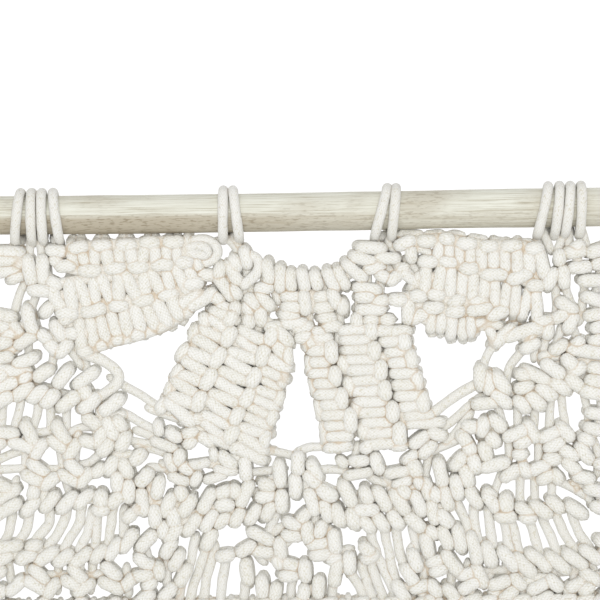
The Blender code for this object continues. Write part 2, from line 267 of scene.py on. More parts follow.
def cord_piece(name, cords, sides=10, step=1.15):
    """One mesh of many cords, each its points and its radius in mm, pressed a little flat in
    the face of the hanging. At every point, the attribute "lay" holds how far along its cord
    it lies in mm and the cosine and sine of its turn round the cord, so that the plait follows
    the cord, "room" holds the gap to its neighbour, and "tint" is one number for each cord."""
    rng = np.random.default_rng(len(name) * 1000 + len(cords))
    curve = bpy.data.curves.new(name, "CURVE")
    curve.dimensions = "3D"
    curve.bevel_depth = MM
    curve.bevel_resolution = (sides - 4) // 2
    lays, tints, axes, widths = [], [], [], []
    turn = 2 * math.pi * np.arange(sides) / sides
    for points, radius in cords:
        points = np.array(points, float)
        if points.shape[1] == 3:
            points = np.column_stack([points, np.ones(len(points))])
        path = smooth_path(points, step)
        path, swell = path[:, :3], path[:, 3]
        count = len(path)
        run = length_along(path)
        phase = rng.uniform(0, 40)
        thick = radius * swell * (1 + UNEVEN * np.sin(run / LONG_WAVE + phase)
                                  + UNEVEN / 2 * np.sin(run / SHORT_WAVE + phase))
        spline = curve.splines.new("POLY")
        spline.points.add(count - 1)
        spline.points.foreach_set("co", np.column_stack([path * MM, np.ones(count)]).ravel())
        spline.points.foreach_set("radius", thick)
        lay = np.empty((count, sides, 3))
        lay[:, :, 0] = (run + phase)[:, None]
        lay[:, :, 1] = np.cos(turn)
        lay[:, :, 2] = np.sin(turn)
        lays.append(lay.reshape(-1, 3))
        axes.append(path)
        widths.append(thick)
        tints.append(np.full(count * sides, rng.uniform(0, 1)))
    shape = bpy.data.objects.new(name + "_path", curve)
    bpy.context.scene.collection.objects.link(shape)
    bpy.context.view_layer.update()
    made = shape.evaluated_get(bpy.context.evaluated_depsgraph_get())
    mesh = bpy.data.meshes.new_from_object(made)
    bpy.data.objects.remove(shape)
    bpy.data.curves.remove(curve)
    mesh.name = name
    heart_of = np.repeat(np.vstack(axes) * MM, sides, axis=0)
    spots = np.empty(len(mesh.vertices) * 3)
    mesh.vertices.foreach_get("co", spots)
    offset = spots.reshape(-1, 3) - heart_of
    offset[:, 1] -= PRESSED * offset[:, 1]
    spots = heart_of + offset
    mesh.vertices.foreach_set("co", spots.ravel())
    room = mesh.attributes.new("room", "FLOAT", "POINT")
    room.data.foreach_set("value", room_round(spots / MM, axes, widths, sides))
    laid_axes.extend(axes)
    laid_widths.extend(widths)
    lay = mesh.attributes.new("lay", "FLOAT_VECTOR", "POINT")
    lay.data.foreach_set("vector", np.vstack(lays).ravel())
    tint = mesh.attributes.new("tint", "FLOAT", "POINT")
    tint.data.foreach_set("value", np.concatenate(tints))
    bm = bmesh.new()
    bm.from_mesh(mesh)
    for face in bm.faces:
        face.smooth = True
    open_ends = [edge for edge in bm.edges if edge.is_boundary]
    bmesh.ops.holes_fill(bm, edges=open_ends, sides=0)
    bmesh.ops.recalc_face_normals(bm, faces=bm.faces)
    bm.to_mesh(mesh)
    bm.free()
    piece = bpy.data.objects.new(name, mesh)
    bpy.context.scene.collection.objects.link(piece)
    piece.data.materials.clear()
    piece.data.materials.append(cotton)
    return piece


def dress(piece, node):
    """Ties a cotton piece to the frame in place of the node."""
    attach(piece, "root")
    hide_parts(node)


# The plait: two sets of yarns cross round the cord, twelve each way, and pass over and under
# each other. The group gives the height of the yarns and their fibres, and a colour with
# painted shade in the furrows, painted shadows in small pits and, in patches, painted shade
# where a cord lies close to the next; each cord's own tint and its fibres vary it as well.
PLAIT_SOCKETS = {"INPUT": {"Lay": "Vector", "Yarns": "Float", "Pitch": "Float", "Tint": "Float",
                           "Room": "Float", "Cream": "Color", "Shade": "Color", "CreaseShade": "Color"},
                 "OUTPUT": {"Color": "Color", "Roughness": "Float", "Height": "Float"}}
plait = bpy.data.node_groups.new("plaited_cotton", "ShaderNodeTree")
for way, sockets in PLAIT_SOCKETS.items():
    for name, kind in sockets.items():
        plait.interface.new_socket(name, in_out=way, socket_type="NodeSocket" + kind)
given = plait.nodes.new("NodeGroupInput").outputs
place = add_node(plait, "TexCoord").outputs["Object"]
laid = add_node(plait, "SeparateXYZ", {"Vector": given["Lay"]}).outputs
angle = sum_of(plait, "ARCTAN2", laid["Z"], laid["Y"])
round_cord = sum_of(plait, "MULTIPLY", sum_of(plait, "DIVIDE", angle, 2 * math.pi), given["Yarns"])
down_cord = sum_of(plait, "DIVIDE", laid["X"], given["Pitch"])
right_hand = sum_of(plait, "ADD", round_cord, down_cord)
left_hand = sum_of(plait, "SUBTRACT", round_cord, down_cord)
crossings = sum_of(plait, "ADD", sum_of(plait, "FLOOR", right_hand), sum_of(plait, "FLOOR", left_hand))
right_hump, left_hump = [
    sum_of(plait, "SINE", sum_of(plait, "MULTIPLY", sum_of(plait, "FRACT", yarns), math.pi))
    for yarns in (right_hand, left_hand)]
right_yarn, left_yarn = [
    sum_of(plait, "MULTIPLY", sum_of(plait, "POWER", own, 0.5),
           sum_of(plait, "MULTIPLY_ADD", other, 0.5, 0.5))
    for own, other in ((right_hump, left_hump), (left_hump, right_hump))]
over = sum_of(plait, "FLOORED_MODULO", crossings, 2.0)
yarn = add_node(plait, "Mix", {"Factor": over, "A": right_yarn, "B": left_yarn}).outputs["Result"]
fibre = clouds(plait, place, FIBRES_PER_METRE, 3)
lumps = clouds(plait, place, LUMPS_PER_METRE, 2)
height = sum_of(plait, "MULTIPLY_ADD", fibre, FIBRE_RELIEF, yarn)
height = sum_of(plait, "MULTIPLY_ADD", lumps, LUMP_RELIEF, height)
# painted shade in the furrows between the yarns
furrow_shade = ranged(plait, yarn, 0.15, 0.75, 1, 0)
# painted shadows: dark specks in small pits
painted_pit_shadows = ranged(plait, clouds(plait, place, PIT_SHADOWS_PER_METRE, 1), 0.56, 0.72)
# how far the cream turns darker: painted shade of furrows and pits, with each cord's own tint and its
# fibres
shade = sum_of(plait, "MULTIPLY", furrow_shade, FURROW_SHADE)
shade = sum_of(plait, "MULTIPLY_ADD", painted_pit_shadows, PIT_SHADE, shade)
shade = sum_of(plait, "MULTIPLY_ADD", given["Tint"], TINT_SHADE, shade)
shade = sum_of(plait, "MULTIPLY_ADD", sum_of(plait, "SUBTRACT", fibre, 0.5), FIBRE_SHADE, shade)
shaded = mixed(plait, shade, given["Cream"], given["Shade"])
# painted shade: where a cord lies close to the next, its colour turns to the crease tone, more in some
# patches than others
near_cord_shade = ranged(plait, given["Room"], 0.65, -0.25, to_high=0.9, interpolation_type="SMOOTHSTEP")
crease_shade_patches = ranged(plait, clouds(plait, place, CREASE_SHADE_PATCHES_PER_METRE, 1), 0.42, 0.60, to_low=0.3)
painted_crease_shade = sum_of(plait, "MULTIPLY", near_cord_shade, crease_shade_patches)
feed(plait, plait.nodes.new("NodeGroupOutput"),
     {"Color": mixed(plait, painted_crease_shade, shaded, given["CreaseShade"]),
      "Roughness": sum_of(plait, "MULTIPLY_ADD", fibre, 0.1, 0.85),
      "Height": height})

cotton = bpy.data.materials.new("undyed_cotton_cord")
cotton.use_nodes = True
tree = cotton.node_tree
lay, tint, room = [add_node(tree, "Attribute", attribute_name=name) for name in ("lay", "tint", "room")]
cloth = add_node(tree, "Group", {"Lay": lay.outputs["Vector"], "Tint": tint.outputs["Fac"],
                                 "Room": room.outputs["Fac"], "Yarns": YARNS, "Pitch": PITCH,
                                 "Cream": CREAM, "Shade": SHADED_CREAM, "CreaseShade": CREASE_SHADE_TONE},
                 node_tree=plait)
relief = add_node(tree, "Bump", {"Height": cloth.outputs["Height"], "Distance": PLAIT_RELIEF,
                                 "Strength": 0.8})
feed(tree, tree.nodes["Principled BSDF"],
     {"Base Color": cloth.outputs["Color"],
      "Roughness": cloth.outputs["Roughness"],
      "Normal": relief.outputs["Normal"],
      "Specular IOR Level": 0.15,
      "Sheen Weight": 0.25,
      "Sheen Roughness": 0.5})

# A loop comes up behind the rod, goes over it, slants down in front and turns back under it.
cords = []
for x_top, x_foot in LOOPS:
    slant = (x_foot - x_top) / LOOP_FALL
    out = LOOP_RADIUS
    cords.append(([(x_foot, 0, -12.5), (x_top, 5, -12.0), (x_top, 9.2, -8.6), (x_top, out, 0),
                   (x_top, out * 0.72, out * 0.72), (x_top, 0, out - 0.3),
                   (x_top + slant * 3, -out * 0.74, out * 0.74),
                   (x_top + slant * 10.6, -out - 0.2, 0),
                   (x_top + slant * 17.4, -out * 0.88, -6.4),
                   (x_top + slant * 21.6, -6.6, -10.6),
                   (x_foot, -2.0, -12.6), (x_foot, 2.5, -13.4)], CORD_RADIUS))
rod_loops = cord_piece("rod_loops", cords, sides=12)
dress(rod_loops, "macrame")

# ---- Left wing ---------------------------------------------------------------------------
# Three chains of square knots, worked sideways under the rod. Each knot shows two bars, whose
# ends are hidden by the bumps along both edges of its chain. Plaited cotton, tied by hand.
KNOT_RADIUS = 3.05            # a cord pulled tight in a knot is pressed a little flatter and wider
KNOT_LIFT = 4.0               # how far the front of a knot's cords stands from the middle
LOOSE_RADIUS = 2.2            # a cord that hangs loose in the net
HEART_RADIUS = 2.5            # a cord that others are tied on
TURN_SHAKE, LIFT_SHAKE = 0.14, 0.25
SNUG_RADII = 2.5, 3.3         # the least and the most of a turn that touches its neighbours
SNUG_MOVE = 0.6               # how far a turn moves to the middle between its neighbours, a share
SNUG_FIT = 1.1                # how much thicker than the gap it is
STRAND_STEP = 4.0
END_RUN, END_DEPTH, END_SWELL = 1.6, 2.6, 0.6   # how a strand's ends run on behind the face
rng = np.random.default_rng(7)


def turns(rows, lift=KNOT_LIFT, radius=KNOT_RADIUS, tuck=None, spread=0.35):
    """Turns of cord round a knot. Each row is x0, z0, x1, z1 in mm: the turn goes over the
    front from the first point to the second, the ends that show, then round the back and into
    the knot. A fifth number is its own radius. The tuck is how far it runs on, hidden under
    its neighbours. Each mark is a place in the face, how far in front of the middle it is, and
    how much thicker or thinner the cord is there."""
    made = []
    for x0, z0, x1, z1, *own in rows:
        r = own[0] if own else radius
        start, end = np.array([x0, z0], float), np.array([x1, z1], float)
        length = np.linalg.norm(end - start)
        way = (end - start) / length
        side = np.array([-way[1], way[0]])
        reach = -min(0.78 * r, 0.3 * length) if tuck is None else tuck
        a, b = start - way * reach, end + way * reach
        c, d = (a, b) if tuck is None else (start, end)
        fall = (0.5 if tuck is None else 0.3) * r
        mid = (start + end) / 2
        top = lift + rng.normal(0, LIFT_SHAKE)
        over = side * r * 0.8 * spread
        marks = [(a + way * 1.6, -1.0, 0.8),
                 (a, top - r * 1.9, 0.9),
                 (c + way * 0.1, top - fall, 1.0),
                 (c * 0.82 + mid * 0.18, top - r * 0.08, 1.04),
                 (mid, top + 0.15, 1.04),
                 (d * 0.82 + mid * 0.18, top - r * 0.08, 1.04),
                 (d - way * 0.1, top - fall, 1.0),
                 (b, top - r * 1.9, 0.9),
                 (b + way * r * 0.5 + over * 0.7, -lift + r * 0.7, 0.9),
                 (b * 0.8 + mid * 0.2 + over, -lift, 1.0),
                 (a * 0.8 + mid * 0.2 + over, -lift, 1.0),
                 (a - way * r * 0.5 + over * 0.7, -lift + r * 0.7, 0.9),
                 (a + way * 1.2 + over * 0.6, -1.0, 0.8)]
        points = np.array([(x, -depth, z, swell) for (x, z), depth, swell in marks])
        points[:, :3] += rng.normal(0, TURN_SHAKE, (len(points), 3))
        made.append((points, r))
    return made


def middle_of(rows):
    """The middle of each turn, in the face of the hanging."""
    return [((x0 + x1) / 2, (z0 + z1) / 2) for x0, z0, x1, z1, *_ in rows]


def snug(rows):
    """The rows evened out and with a radius each, so that every turn touches the turns before
    and after it."""
    places = np.array(middle_of(rows))
    shift = np.zeros(places.shape)
    shift[1:-1] = ((places[:-2] + places[2:]) / 2 - places[1:-1]) * SNUG_MOVE
    gaps = np.linalg.norm(np.diff(places + shift, axis=0), axis=1)
    before, after = np.append(gaps[:1], gaps), np.append(gaps, gaps[-1:])
    widths = np.clip((before + after) / 4 * SNUG_FIT, *SNUG_RADII)
    return [(x0 + dx, z0 + dz, x1 + dx, z1 + dz, width)
            for (x0, z0, x1, z1, *_), (dx, dz), width in zip(rows, shift, widths)]


def strands(*paths, radius=LOOSE_RADIUS, depth=0.0, shake=0.1):
    """Loose runs of cord in the face of the hanging, each through its points (x, z), whose ends
    turn in behind the face."""
    made = []
    for path in paths:
        points = np.array([(x, -depth, z) for x, z in path], float)
        points = smooth_path(points, STRAND_STEP)
        points += rng.normal(0, shake, points.shape)
        first, last = [end + (end - by) / np.linalg.norm(end - by) * END_RUN + (0, END_DEPTH, 0)
                       for end, by in ((points[0], points[1]), (points[-1], points[-2]))]
        swell = np.array([END_SWELL] + [1.0] * len(points) + [END_SWELL])
        made.append((np.column_stack([np.vstack([first, points, last]), swell]), radius))
    return made


def heart(rows, radius=HEART_RADIUS, depth=0.0):
    """The cord that a row of turns is tied on: it runs through the middle of each."""
    return strands(middle_of(rows), radius=radius, depth=depth)


def wing(bumps, long_bars, short_bars):
    """The chains of a wing: the bumps along their edges, and the bars between these."""
    made = turns(bumps, lift=4.7, radius=3.15)
    made += turns(long_bars, lift=3.7, tuck=2.2)
    return made + turns(short_bars, lift=3.7, tuck=1.0)


# Turns and ties are rows of x0, z0, x1, z1 in mm, some with a radius of their own. Strands are
# paths of points x, z.
LEFT_UPPER_BUMPS = [
    (-110, -17.5, -99.5, -14.8), (-98.5, -15.6, -88, -15.4), (-87, -15.3, -76.5, -15.1),
    (-75.8, -14.5, -65.5, -14.4), (-65.2, -14.2, -54.3, -14)]
LEFT_UPPER_BARS = [
    (-107.8, -15, -107, -24), (-103.4, -15, -101, -25), (-96.2, -15, -97.8, -25),
    (-91.8, -15, -89.2, -25), (-85, -15, -86.4, -25), (-80.4, -15, -78, -24.5), (-73, -15, -75, -24.5),
    (-68.6, -15, -67.5, -24), (-62.5, -15, -63, -24), (-57.5, -14.5, -57, -25), (-52.8, -13, -54, -25)]
LEFT_MIDDLE_BUMPS = [
    (-115.5, -24.8, -105, -24.2), (-104.3, -27, -93.5, -27), (-92.6, -26, -82, -26),
    (-81.5, -25.5, -71, -25.5), (-70.3, -24.8, -59.5, -24.8), (-59, -23.5, -50, -24)]
LEFT_MIDDLE_BARS = [
    (-117.5, -35, -112.5, -45), (-108.5, -32, -107.5, -44), (-104.5, -33, -99.5, -45),
    (-97.6, -30.5, -97, -42), (-94, -30.5, -89, -42), (-86, -29.5, -86, -41), (-82.6, -29, -76.5, -40),
    (-73.5, -28, -73, -40), (-70, -28, -65, -38.5), (-63, -27.5, -61.5, -38), (-58.6, -26.5, -53, -37),
    (-52.5, -26, -49, -36)]
LEFT_LOWER_BUMPS = [
    (-115.5, -46.8, -104.5, -47.3), (-103.8, -46.8, -91.5, -44.5), (-90.6, -43.8, -80.4, -43.8),
    (-79.6, -41.8, -68.6, -41), (-67.6, -39.2, -57, -38.2), (-56, -34.5, -45.5, -33)]
LEFT_LOWER_BARS = [
    (-104.5, -51, -103, -63), (-99.5, -50.5, -97.5, -62), (-94.5, -49, -91.5, -60),
    (-89.5, -47.5, -86.5, -58), (-83.5, -46.5, -82, -57), (-78, -45.5, -75.2, -55.5),
    (-72.8, -44, -68.5, -54), (-67.8, -42.5, -62.5, -52), (-62, -41, -58, -50.5),
    (-58, -42.5, -46.5, -36.5), (-52, -44.5, -41.5, -38.5)]
WING_EDGE_BUMPS = [
    (-105.5, -65.5, -98.5, -65), (-98.5, -62.8, -91, -61.5), (-90.5, -60.5, -83, -58.5),
    (-80.5, -58.5, -73.5, -56.5), (-70.5, -55.2, -60.8, -52), (-59.5, -47.5, -51, -47)]
WING_CORNERS = [
    (-50.5, -21, -47, -28), (-49, -29, -39.5, -30.5), (-120, -16.5, -109.5, -18.5),
    (-118, -20, -112, -25)]
WING_END = [
    (-54, -15.6), (-50, -13.6), (-44, -13.1), (-39.8, -15.5), (-38.6, -19), (-41.2, -22.6), (-46, -24),
    (-51, -22.6)]
WING_CURL = [(-53, -17), (-48, -16), (-43.6, -17), (-43.2, -19.6), (-47, -20.4), (-52, -19.4)]
ABOVE_BARS = [(-113, -33), (-104, -31.3), (-90, -30.3), (-75, -29), (-60, -27.6), (-50, -26.6)]
BELOW_BARS = [(-111, -44), (-100, -43.3), (-90, -41.5), (-78, -40.3), (-65, -38.3), (-52, -36.5)]
cords = wing(LEFT_UPPER_BUMPS + LEFT_MIDDLE_BUMPS + LEFT_LOWER_BUMPS,
             snug(LEFT_UPPER_BARS) + snug(LEFT_MIDDLE_BARS), snug(LEFT_LOWER_BARS))
cords += turns(WING_EDGE_BUMPS, lift=3.4)
for row in (LEFT_UPPER_BUMPS, LEFT_MIDDLE_BUMPS, LEFT_LOWER_BUMPS, WING_EDGE_BUMPS,
            LEFT_UPPER_BARS, LEFT_MIDDLE_BARS, LEFT_LOWER_BARS):
    cords += heart(row, radius=3.3, depth=2.3)
cords += strands(ABOVE_BARS, BELOW_BARS, radius=2.6, depth=2.5)
cords += strands(WING_END, radius=2.5, depth=2.5)
cords += strands(WING_CURL, radius=2.4, depth=4.0)
cords += turns(WING_CORNERS, lift=3.2)
left_wing = cord_piece("left_wing", cords)
dress(left_wing, "macrame")

# ---- Right wing --------------------------------------------------------------------------
# The same three chains on the other side, with the first one turned so that bumps of its back
# show above it. Plaited cotton, tied by hand.
# x0, z0, x1, z1, radius of each turn; x, z of each point of a strand
RIGHT_UPPER_BUMPS = [
    (45, -17.5, 55, -14.3), (55.5, -15, 65, -15.4), (66, -13.8, 73.6, -15.2), (74, -16.7, 84, -16.7),
    (84.5, -18, 94.2, -18.2), (95, -18.2, 105.6, -18.2), (106.5, -19.6, 115.5, -19.6)]
BACK_BUMPS = [
    (46.5, -13, 58.2, -12.8), (59.3, -12.9, 68.7, -12.9), (69.9, -13.5, 78, -13.5),
    (80.1, -15, 88.2, -15.4), (90.5, -16.7, 98.1, -16.7), (103, -17.9, 109.8, -17.9)]
RIGHT_UPPER_BARS = [
    (66, -16.5, 65.5, -24), (70.5, -17, 71.5, -25), (75.5, -18, 75.5, -26), (80.6, -18, 80.6, -27),
    (86, -18.5, 86, -28), (91.6, -19, 91.6, -29), (97.4, -19, 97.4, -29), (102.6, -19.5, 103, -31.5),
    (108, -20, 108.4, -29), (113, -20.5, 116, -32)]
RIGHT_MIDDLE_BUMPS = [
    (56, -25.2, 66, -24.8), (66, -24.6, 75, -26), (75.5, -28.6, 85, -28.2), (85.5, -31.6, 99, -31.2),
    (98, -35, 110, -30.5), (107, -37, 115.5, -37)]
RIGHT_MIDDLE_BARS = [
    (47, -27, 53, -32), (52, -30, 59, -36.5), (48, -37.5, 52, -32.5), (62, -28, 61, -38),
    (67.2, -27.5, 64.2, -38), (71.6, -28, 71, -40), (77.2, -30.5, 76, -41), (82.4, -31.5, 82, -44),
    (87.6, -33, 86, -44.5), (92.4, -34.5, 93, -47), (98, -37.5, 96, -48), (102.6, -38, 101.4, -49),
    (108, -39.5, 104.6, -50.5), (111.6, -40.5, 112.2, -52)]
RIGHT_LOWER_BUMPS = [
    (42, -42.8, 51, -43), (51.5, -41, 60, -41.2), (60, -40, 69, -41), (70, -45.4, 78, -42),
    (79, -44.4, 90, -44.4), (58, -47, 68, -46.6), (68.5, -49.2, 78, -48.2), (78.4, -49, 91, -46.6),
    (88, -52, 99, -47.6)]
RIGHT_LOWER_BARS = [
    (51.5, -44.5, 51, -52), (54, -51.5, 60.5, -49), (61.5, -49, 61.5, -57.5), (67, -50.5, 66.5, -56),
    (72, -51.5, 71, -60.5), (76.5, -52, 76.5, -59.5), (82, -54.5, 82, -61.5), (78, -52.8, 88, -52.4),
    (89, -53.8, 98, -53.4), (88, -56.5, 92, -66), (85, -56, 86.5, -62), (94, -66, 101, -60),
    (97, -60.5, 113, -57)]
WING_TURN = [(53, -17.2, 53, -25.8)]
WING_HOOK = [(54, -18.6), (58, -18.4), (61, -21), (60, -25)]
RIGHT_WING_TIES = [(81.5, -51.9, 89.5, -51.9), (54.5, -45.3, 61, -45.3), (111.8, -29, 111.8, -35)]
BEHIND_FACE = KNOT_LIFT - 2.2


def ties(rows):
    """Short cords just behind the face, which close small openings between turns."""
    return strands(*[((x0, z0), (x1, z1)) for x0, z0, x1, z1 in rows],
                   radius=HEART_RADIUS, depth=BEHIND_FACE)


cords = wing(RIGHT_UPPER_BUMPS + RIGHT_MIDDLE_BUMPS + RIGHT_LOWER_BUMPS,
             snug(RIGHT_UPPER_BARS) + snug(RIGHT_MIDDLE_BARS), snug(RIGHT_LOWER_BARS))
cords += turns(BACK_BUMPS, lift=0.2, radius=2.7)
for row in (RIGHT_UPPER_BUMPS, RIGHT_MIDDLE_BUMPS, RIGHT_LOWER_BUMPS[:5], RIGHT_LOWER_BUMPS[5:],
            RIGHT_UPPER_BARS, RIGHT_MIDDLE_BARS[3:], RIGHT_LOWER_BARS[:7]):
    cords += heart(row, radius=3.3, depth=2.3)
cords += turns(WING_TURN, lift=5.2, radius=2.9)
cords += strands(WING_HOOK, radius=2.5, depth=2.5)
cords += ties(RIGHT_WING_TIES)
right_wing = cord_piece("right_wing", cords)
dress(right_wing, "macrame")

# ---- Middle ------------------------------------------------------------------------------
# A slack cord swings from one lark's head to the other, with the cords of the middle hitched
# on it side by side. Two bundles take its ends, and two square knots hang under it.
# x0, z0, x1, z1, radius of each turn; x, z of each point of a strand
WRAPS = [
    (-15.5, -22.2, -14.4, -35), (-9.5, -24.8, -9, -39), (-4.4, -27, -4.4, -38.6), (0.4, -27, 3, -38.6),
    (6.2, -28, 9, -37.6), (12, -27.2, 17.6, -39), (16.6, -26.6, 22.4, -37.6), (20.4, -24, 31.8, -33.6)]
SWAG = [(-28, -22), (-18, -26.5), (-9.5, -30.5), (0, -32), (7, -33), (14, -33), (21, -30.5), (30, -24)]
LEFT_BUNDLE = [
    (-26.6, -16.2, -24, -27.2), (-39.4, -33, -36.6, -23.6), (-35, -23.2, -28, -35),
    (-40, -29, -31, -42), (-34, -35, -28, -41), (-31.5, -20, -29, -29)]
RIGHT_BUNDLE = [
    (26.6, -17.4, 41.6, -18.6), (23.6, -21.4, 37, -25.4), (30, -28.6, 40.4, -26.4),
    (35, -22.6, 48, -23.4), (36, -29.5, 42.5, -33.5), (41.5, -35.5, 48, -29.5),
    (25, -36.4, 38.6, -38.4), (26, -41.5, 36, -41), (46, -30, 51.4, -26.6)]
BUNDLE_CURL = [(-23.6, -20.6), (-19.8, -22.6), (-20, -28.6), (-26, -34.6)]
LEFT_KNOT = [(-9, -40.4, 1.2, -41), (-9, -45.2, 1, -46), (-10, -48.6, 0, -50.6), (-9.6, -53, 4, -53.4)]
RIGHT_KNOT = [(6, -41, 14.6, -40.4), (6, -46, 16, -46), (8.4, -51, 17, -50.6), (10, -55, 20, -54.6)]
KNOT_SIDES = [(1.6, -37.6, 2.6, -49.4), (14, -37, 18.6, -46.6), (19.4, -41.6, 20.4, -49.4)]
UNDER_KNOTS = [   # two of them are under the left bundle
    (-4.5, -55.6, 6, -54.6), (4.6, -57, 12, -57.4, 2.4), (-44, -37, -36, -43.5, 3),
    (-40, -43.4, -33, -46.5, 2.8), (-2.6, -60.6, 5.4, -58.8), (2.4, -64, 7.6, -60.8)]
CENTRE_LEFT = [
    (-21.6, -36.6, -12.4, -36), (-21, -38, -12.6, -46.6), (-25.4, -39, -19.6, -47.4),
    (-19.6, -44, -18, -54.6), (-26, -43, -22.6, -49), (-17, -55.2, -8.4, -54.6), (-30.6, -43, -31, -49),
    (-24.4, -49, -24, -55)]
CENTRE_RIGHT = [
    (26, -47, 41, -47), (26.6, -49, 26.6, -56), (30, -52.4, 37, -52.4), (38, -52.2, 44.4, -52.2),
    (33, -43.6, 42.4, -43)]
LOOP_ENDS = [
    [(-35, -12), (-31, -16), (-28.6, -20)], [(-31, -12), (-29, -16), (-26, -20)],
    [(36, -12), (37, -17)], [(44, -12), (42, -16), (46, -20)], [(-40, -14), (-36, -13), (-33, -13)]]
MIDDLE_STRANDS = [
    [(-4, -34), (-4, -58)], [(1, -34), (0, -60)], [(12, -34), (12, -60)], [(18.6, -44), (18.4, -62)],
    [(-16, -28), (-17, -36), (-16, -46), (-21, -58)], [(-30, -36), (-32, -48), (-40, -56)],
    [(32, -30), (32, -44), (34, -58)], [(38, -34), (38, -50), (45, -60)], [(28, -40), (28, -58)],
    [(-26, -32), (-26, -56)], [(-26, -23), (-23, -38), (-22, -50)], [(38, -24), (44, -30)],
    [(51, -24), (56, -30)], [(-13, -33), (-10.4, -42)], [(4, -50), (2, -64)]]
MIDDLE_TIES = [(5.9, -39, 5.9, -46)]


def packing(*groups, reach=8.5, radius=HEART_RADIUS):
    """The cords that turns are tied over: a short one runs, just behind the face, from the
    middle of each turn to the middle of every turn near it."""
    places = np.array(middle_of(row for group in groups for row in group))
    gaps = np.linalg.norm(places[:, None] - places[None], axis=2)
    pairs = [(a, b) for a, b in zip(*np.nonzero(gaps < reach)) if a < b]
    return strands(*[(places[a], places[b]) for a, b in pairs], radius=radius, depth=BEHIND_FACE)


cords = turns(WRAPS, lift=4.2, radius=3.0)
cords += turns(LEFT_BUNDLE + RIGHT_BUNDLE, lift=3.9, radius=3.0)
cords += turns(LEFT_KNOT + RIGHT_KNOT + CENTRE_LEFT + CENTRE_RIGHT, lift=3.6)
cords += packing(WRAPS, LEFT_BUNDLE, CENTRE_LEFT)
cords += packing(RIGHT_BUNDLE, CENTRE_RIGHT)
cords += turns(KNOT_SIDES, lift=4.8)
cords += turns(UNDER_KNOTS, lift=3.2, spread=0.3)
cords += strands(SWAG, radius=2.5)
cords += strands(BUNDLE_CURL, radius=2.6, depth=3.6)
cords += strands(*LOOP_ENDS, radius=1.9)
cords += strands(*MIDDLE_STRANDS, radius=2.4)
cords += ties(MIDDLE_TIES)
middle = cord_piece("middle", cords)
dress(middle, "macrame")

# ---- Petals ------------------------------------------------------------------------------
# Six chains of square knots in plaited cotton, which hang from the middle in two fans of
# three, either side of an open arch. Each knot shows two bars, held at one side by a bump.
# x0, z0, x1, z1, radius of each turn; x, z of each point of a strand
OUTER_LEFT_BARS = [
    (-40.6, -47, -30.6, -51), (-42, -50.4, -34, -56), (-47, -55.6, -36.6, -60.6),
    (-49, -59, -38.6, -66.4), (-52, -66.4, -42, -70), (-54, -70, -44, -77.4),
    (-57, -76.6, -46.6, -80.2), (-58.6, -80, -48.4, -87.4), (-61.6, -86.8, -51.4, -90.4),
    (-63, -89.8, -52.4, -99)]
OUTER_LEFT_BUMPS = [
    (-35.6, -54, -30.4, -46.6), (-37, -63.6, -31.4, -54.6), (-42.6, -73.6, -36.4, -64.6),
    (-47, -84, -40.6, -74.6), (-51, -94, -46, -84.6)]
LEFT_EDGE_BUMPS = [
    (-44, -55, -46, -48), (-51, -62, -49, -53), (-58, -70, -52.6, -62.6), (-60.4, -79, -56, -72.6),
    (-63.6, -87, -60, -80), (-68, -95, -63.6, -87.6)]
MIDDLE_LEFT_BARS = [
    (-27, -56.4, -17, -61.6), (-29, -60.4, -20, -67), (-32.6, -66, -21, -70), (-34.6, -70, -24, -76.4),
    (-37.4, -75.6, -26.6, -80), (-39, -79.4, -28.4, -86), (-42.4, -86, -31.4, -90.6),
    (-43.6, -89.4, -33.6, -97.6), (-46, -96, -34.4, -101), (-47.4, -100, -37, -108),
    (-44, -106, -36, -110)]
MIDDLE_LEFT_BUMPS = [
    (-16, -64, -11.6, -54.6), (-19.6, -73.4, -16.4, -63.4), (-24.8, -83, -19.6, -74),
    (-28.8, -92.4, -22.4, -83.6), (-33.6, -101, -28, -92.6), (-37, -109.6, -30, -101.6)]
INNER_LEFT_BARS = [
    (-11.6, -56, -6, -62), (-12.4, -61, -7.6, -70.4), (-15, -70.6, -6.6, -74.6), (-17, -75, -7, -79.6),
    (-18.6, -79.4, -11.6, -84.6), (-20.4, -84, -10.6, -87.6), (-22, -88, -12, -93),
    (-24.6, -92.6, -14.6, -97.6), (-26, -96.4, -15.4, -101.6), (-28.6, -101.8, -16.6, -105.4),
    (-28, -106, -17.4, -113), (-30, -112, -19, -117.6)]
INNER_LEFT_BUMPS = [
    (-6.4, -63.6, -6.4, -73.6), (-10, -83.6, -7.6, -75.4), (-12, -92.6, -9.4, -84.6),
    (-15.6, -101.6, -12.4, -93.6), (-18.6, -112.6, -16.2, -103.4)]
LEFT_PETAL_TIES = [
    (-50, -59.5, -50, -66.5), (-33, -60.5, -28.5, -64), (-34, -116.5, -27.5, -116.5),
    (-47.5, -93.2, -41, -93.2), (-50, -102.5, -43.5, -102.5)]
INNER_RIGHT_BARS = [
    (5, -61, 12.6, -60.6), (5, -66, 12.6, -66.6), (5.6, -72, 12, -72), (5.4, -76.8, 14, -76.8),
    (7.6, -82, 15, -82), (8.4, -87, 17, -87), (10.6, -91.8, 18, -91.8), (11.2, -97, 21, -97),
    (12.4, -102, 21.4, -101.8), (12.6, -107, 22, -107), (12.4, -112.4, 22, -111.6)]
INNER_RIGHT_BUMPS = [
    (14.2, -61.8, 14.4, -72.6), (15.6, -73.6, 16, -83.6), (18.6, -84, 18.8, -94.4),
    (22.8, -93.4, 23.2, -105)]
RIGHT_ARCH_BUMPS = [
    (2.6, -58.4, 3.2, -67), (3.6, -68.4, 5, -78.2), (5, -78.8, 7, -88.6), (7.6, -89.4, 9.4, -99.6),
    (10.4, -99.8, 11, -111.4)]
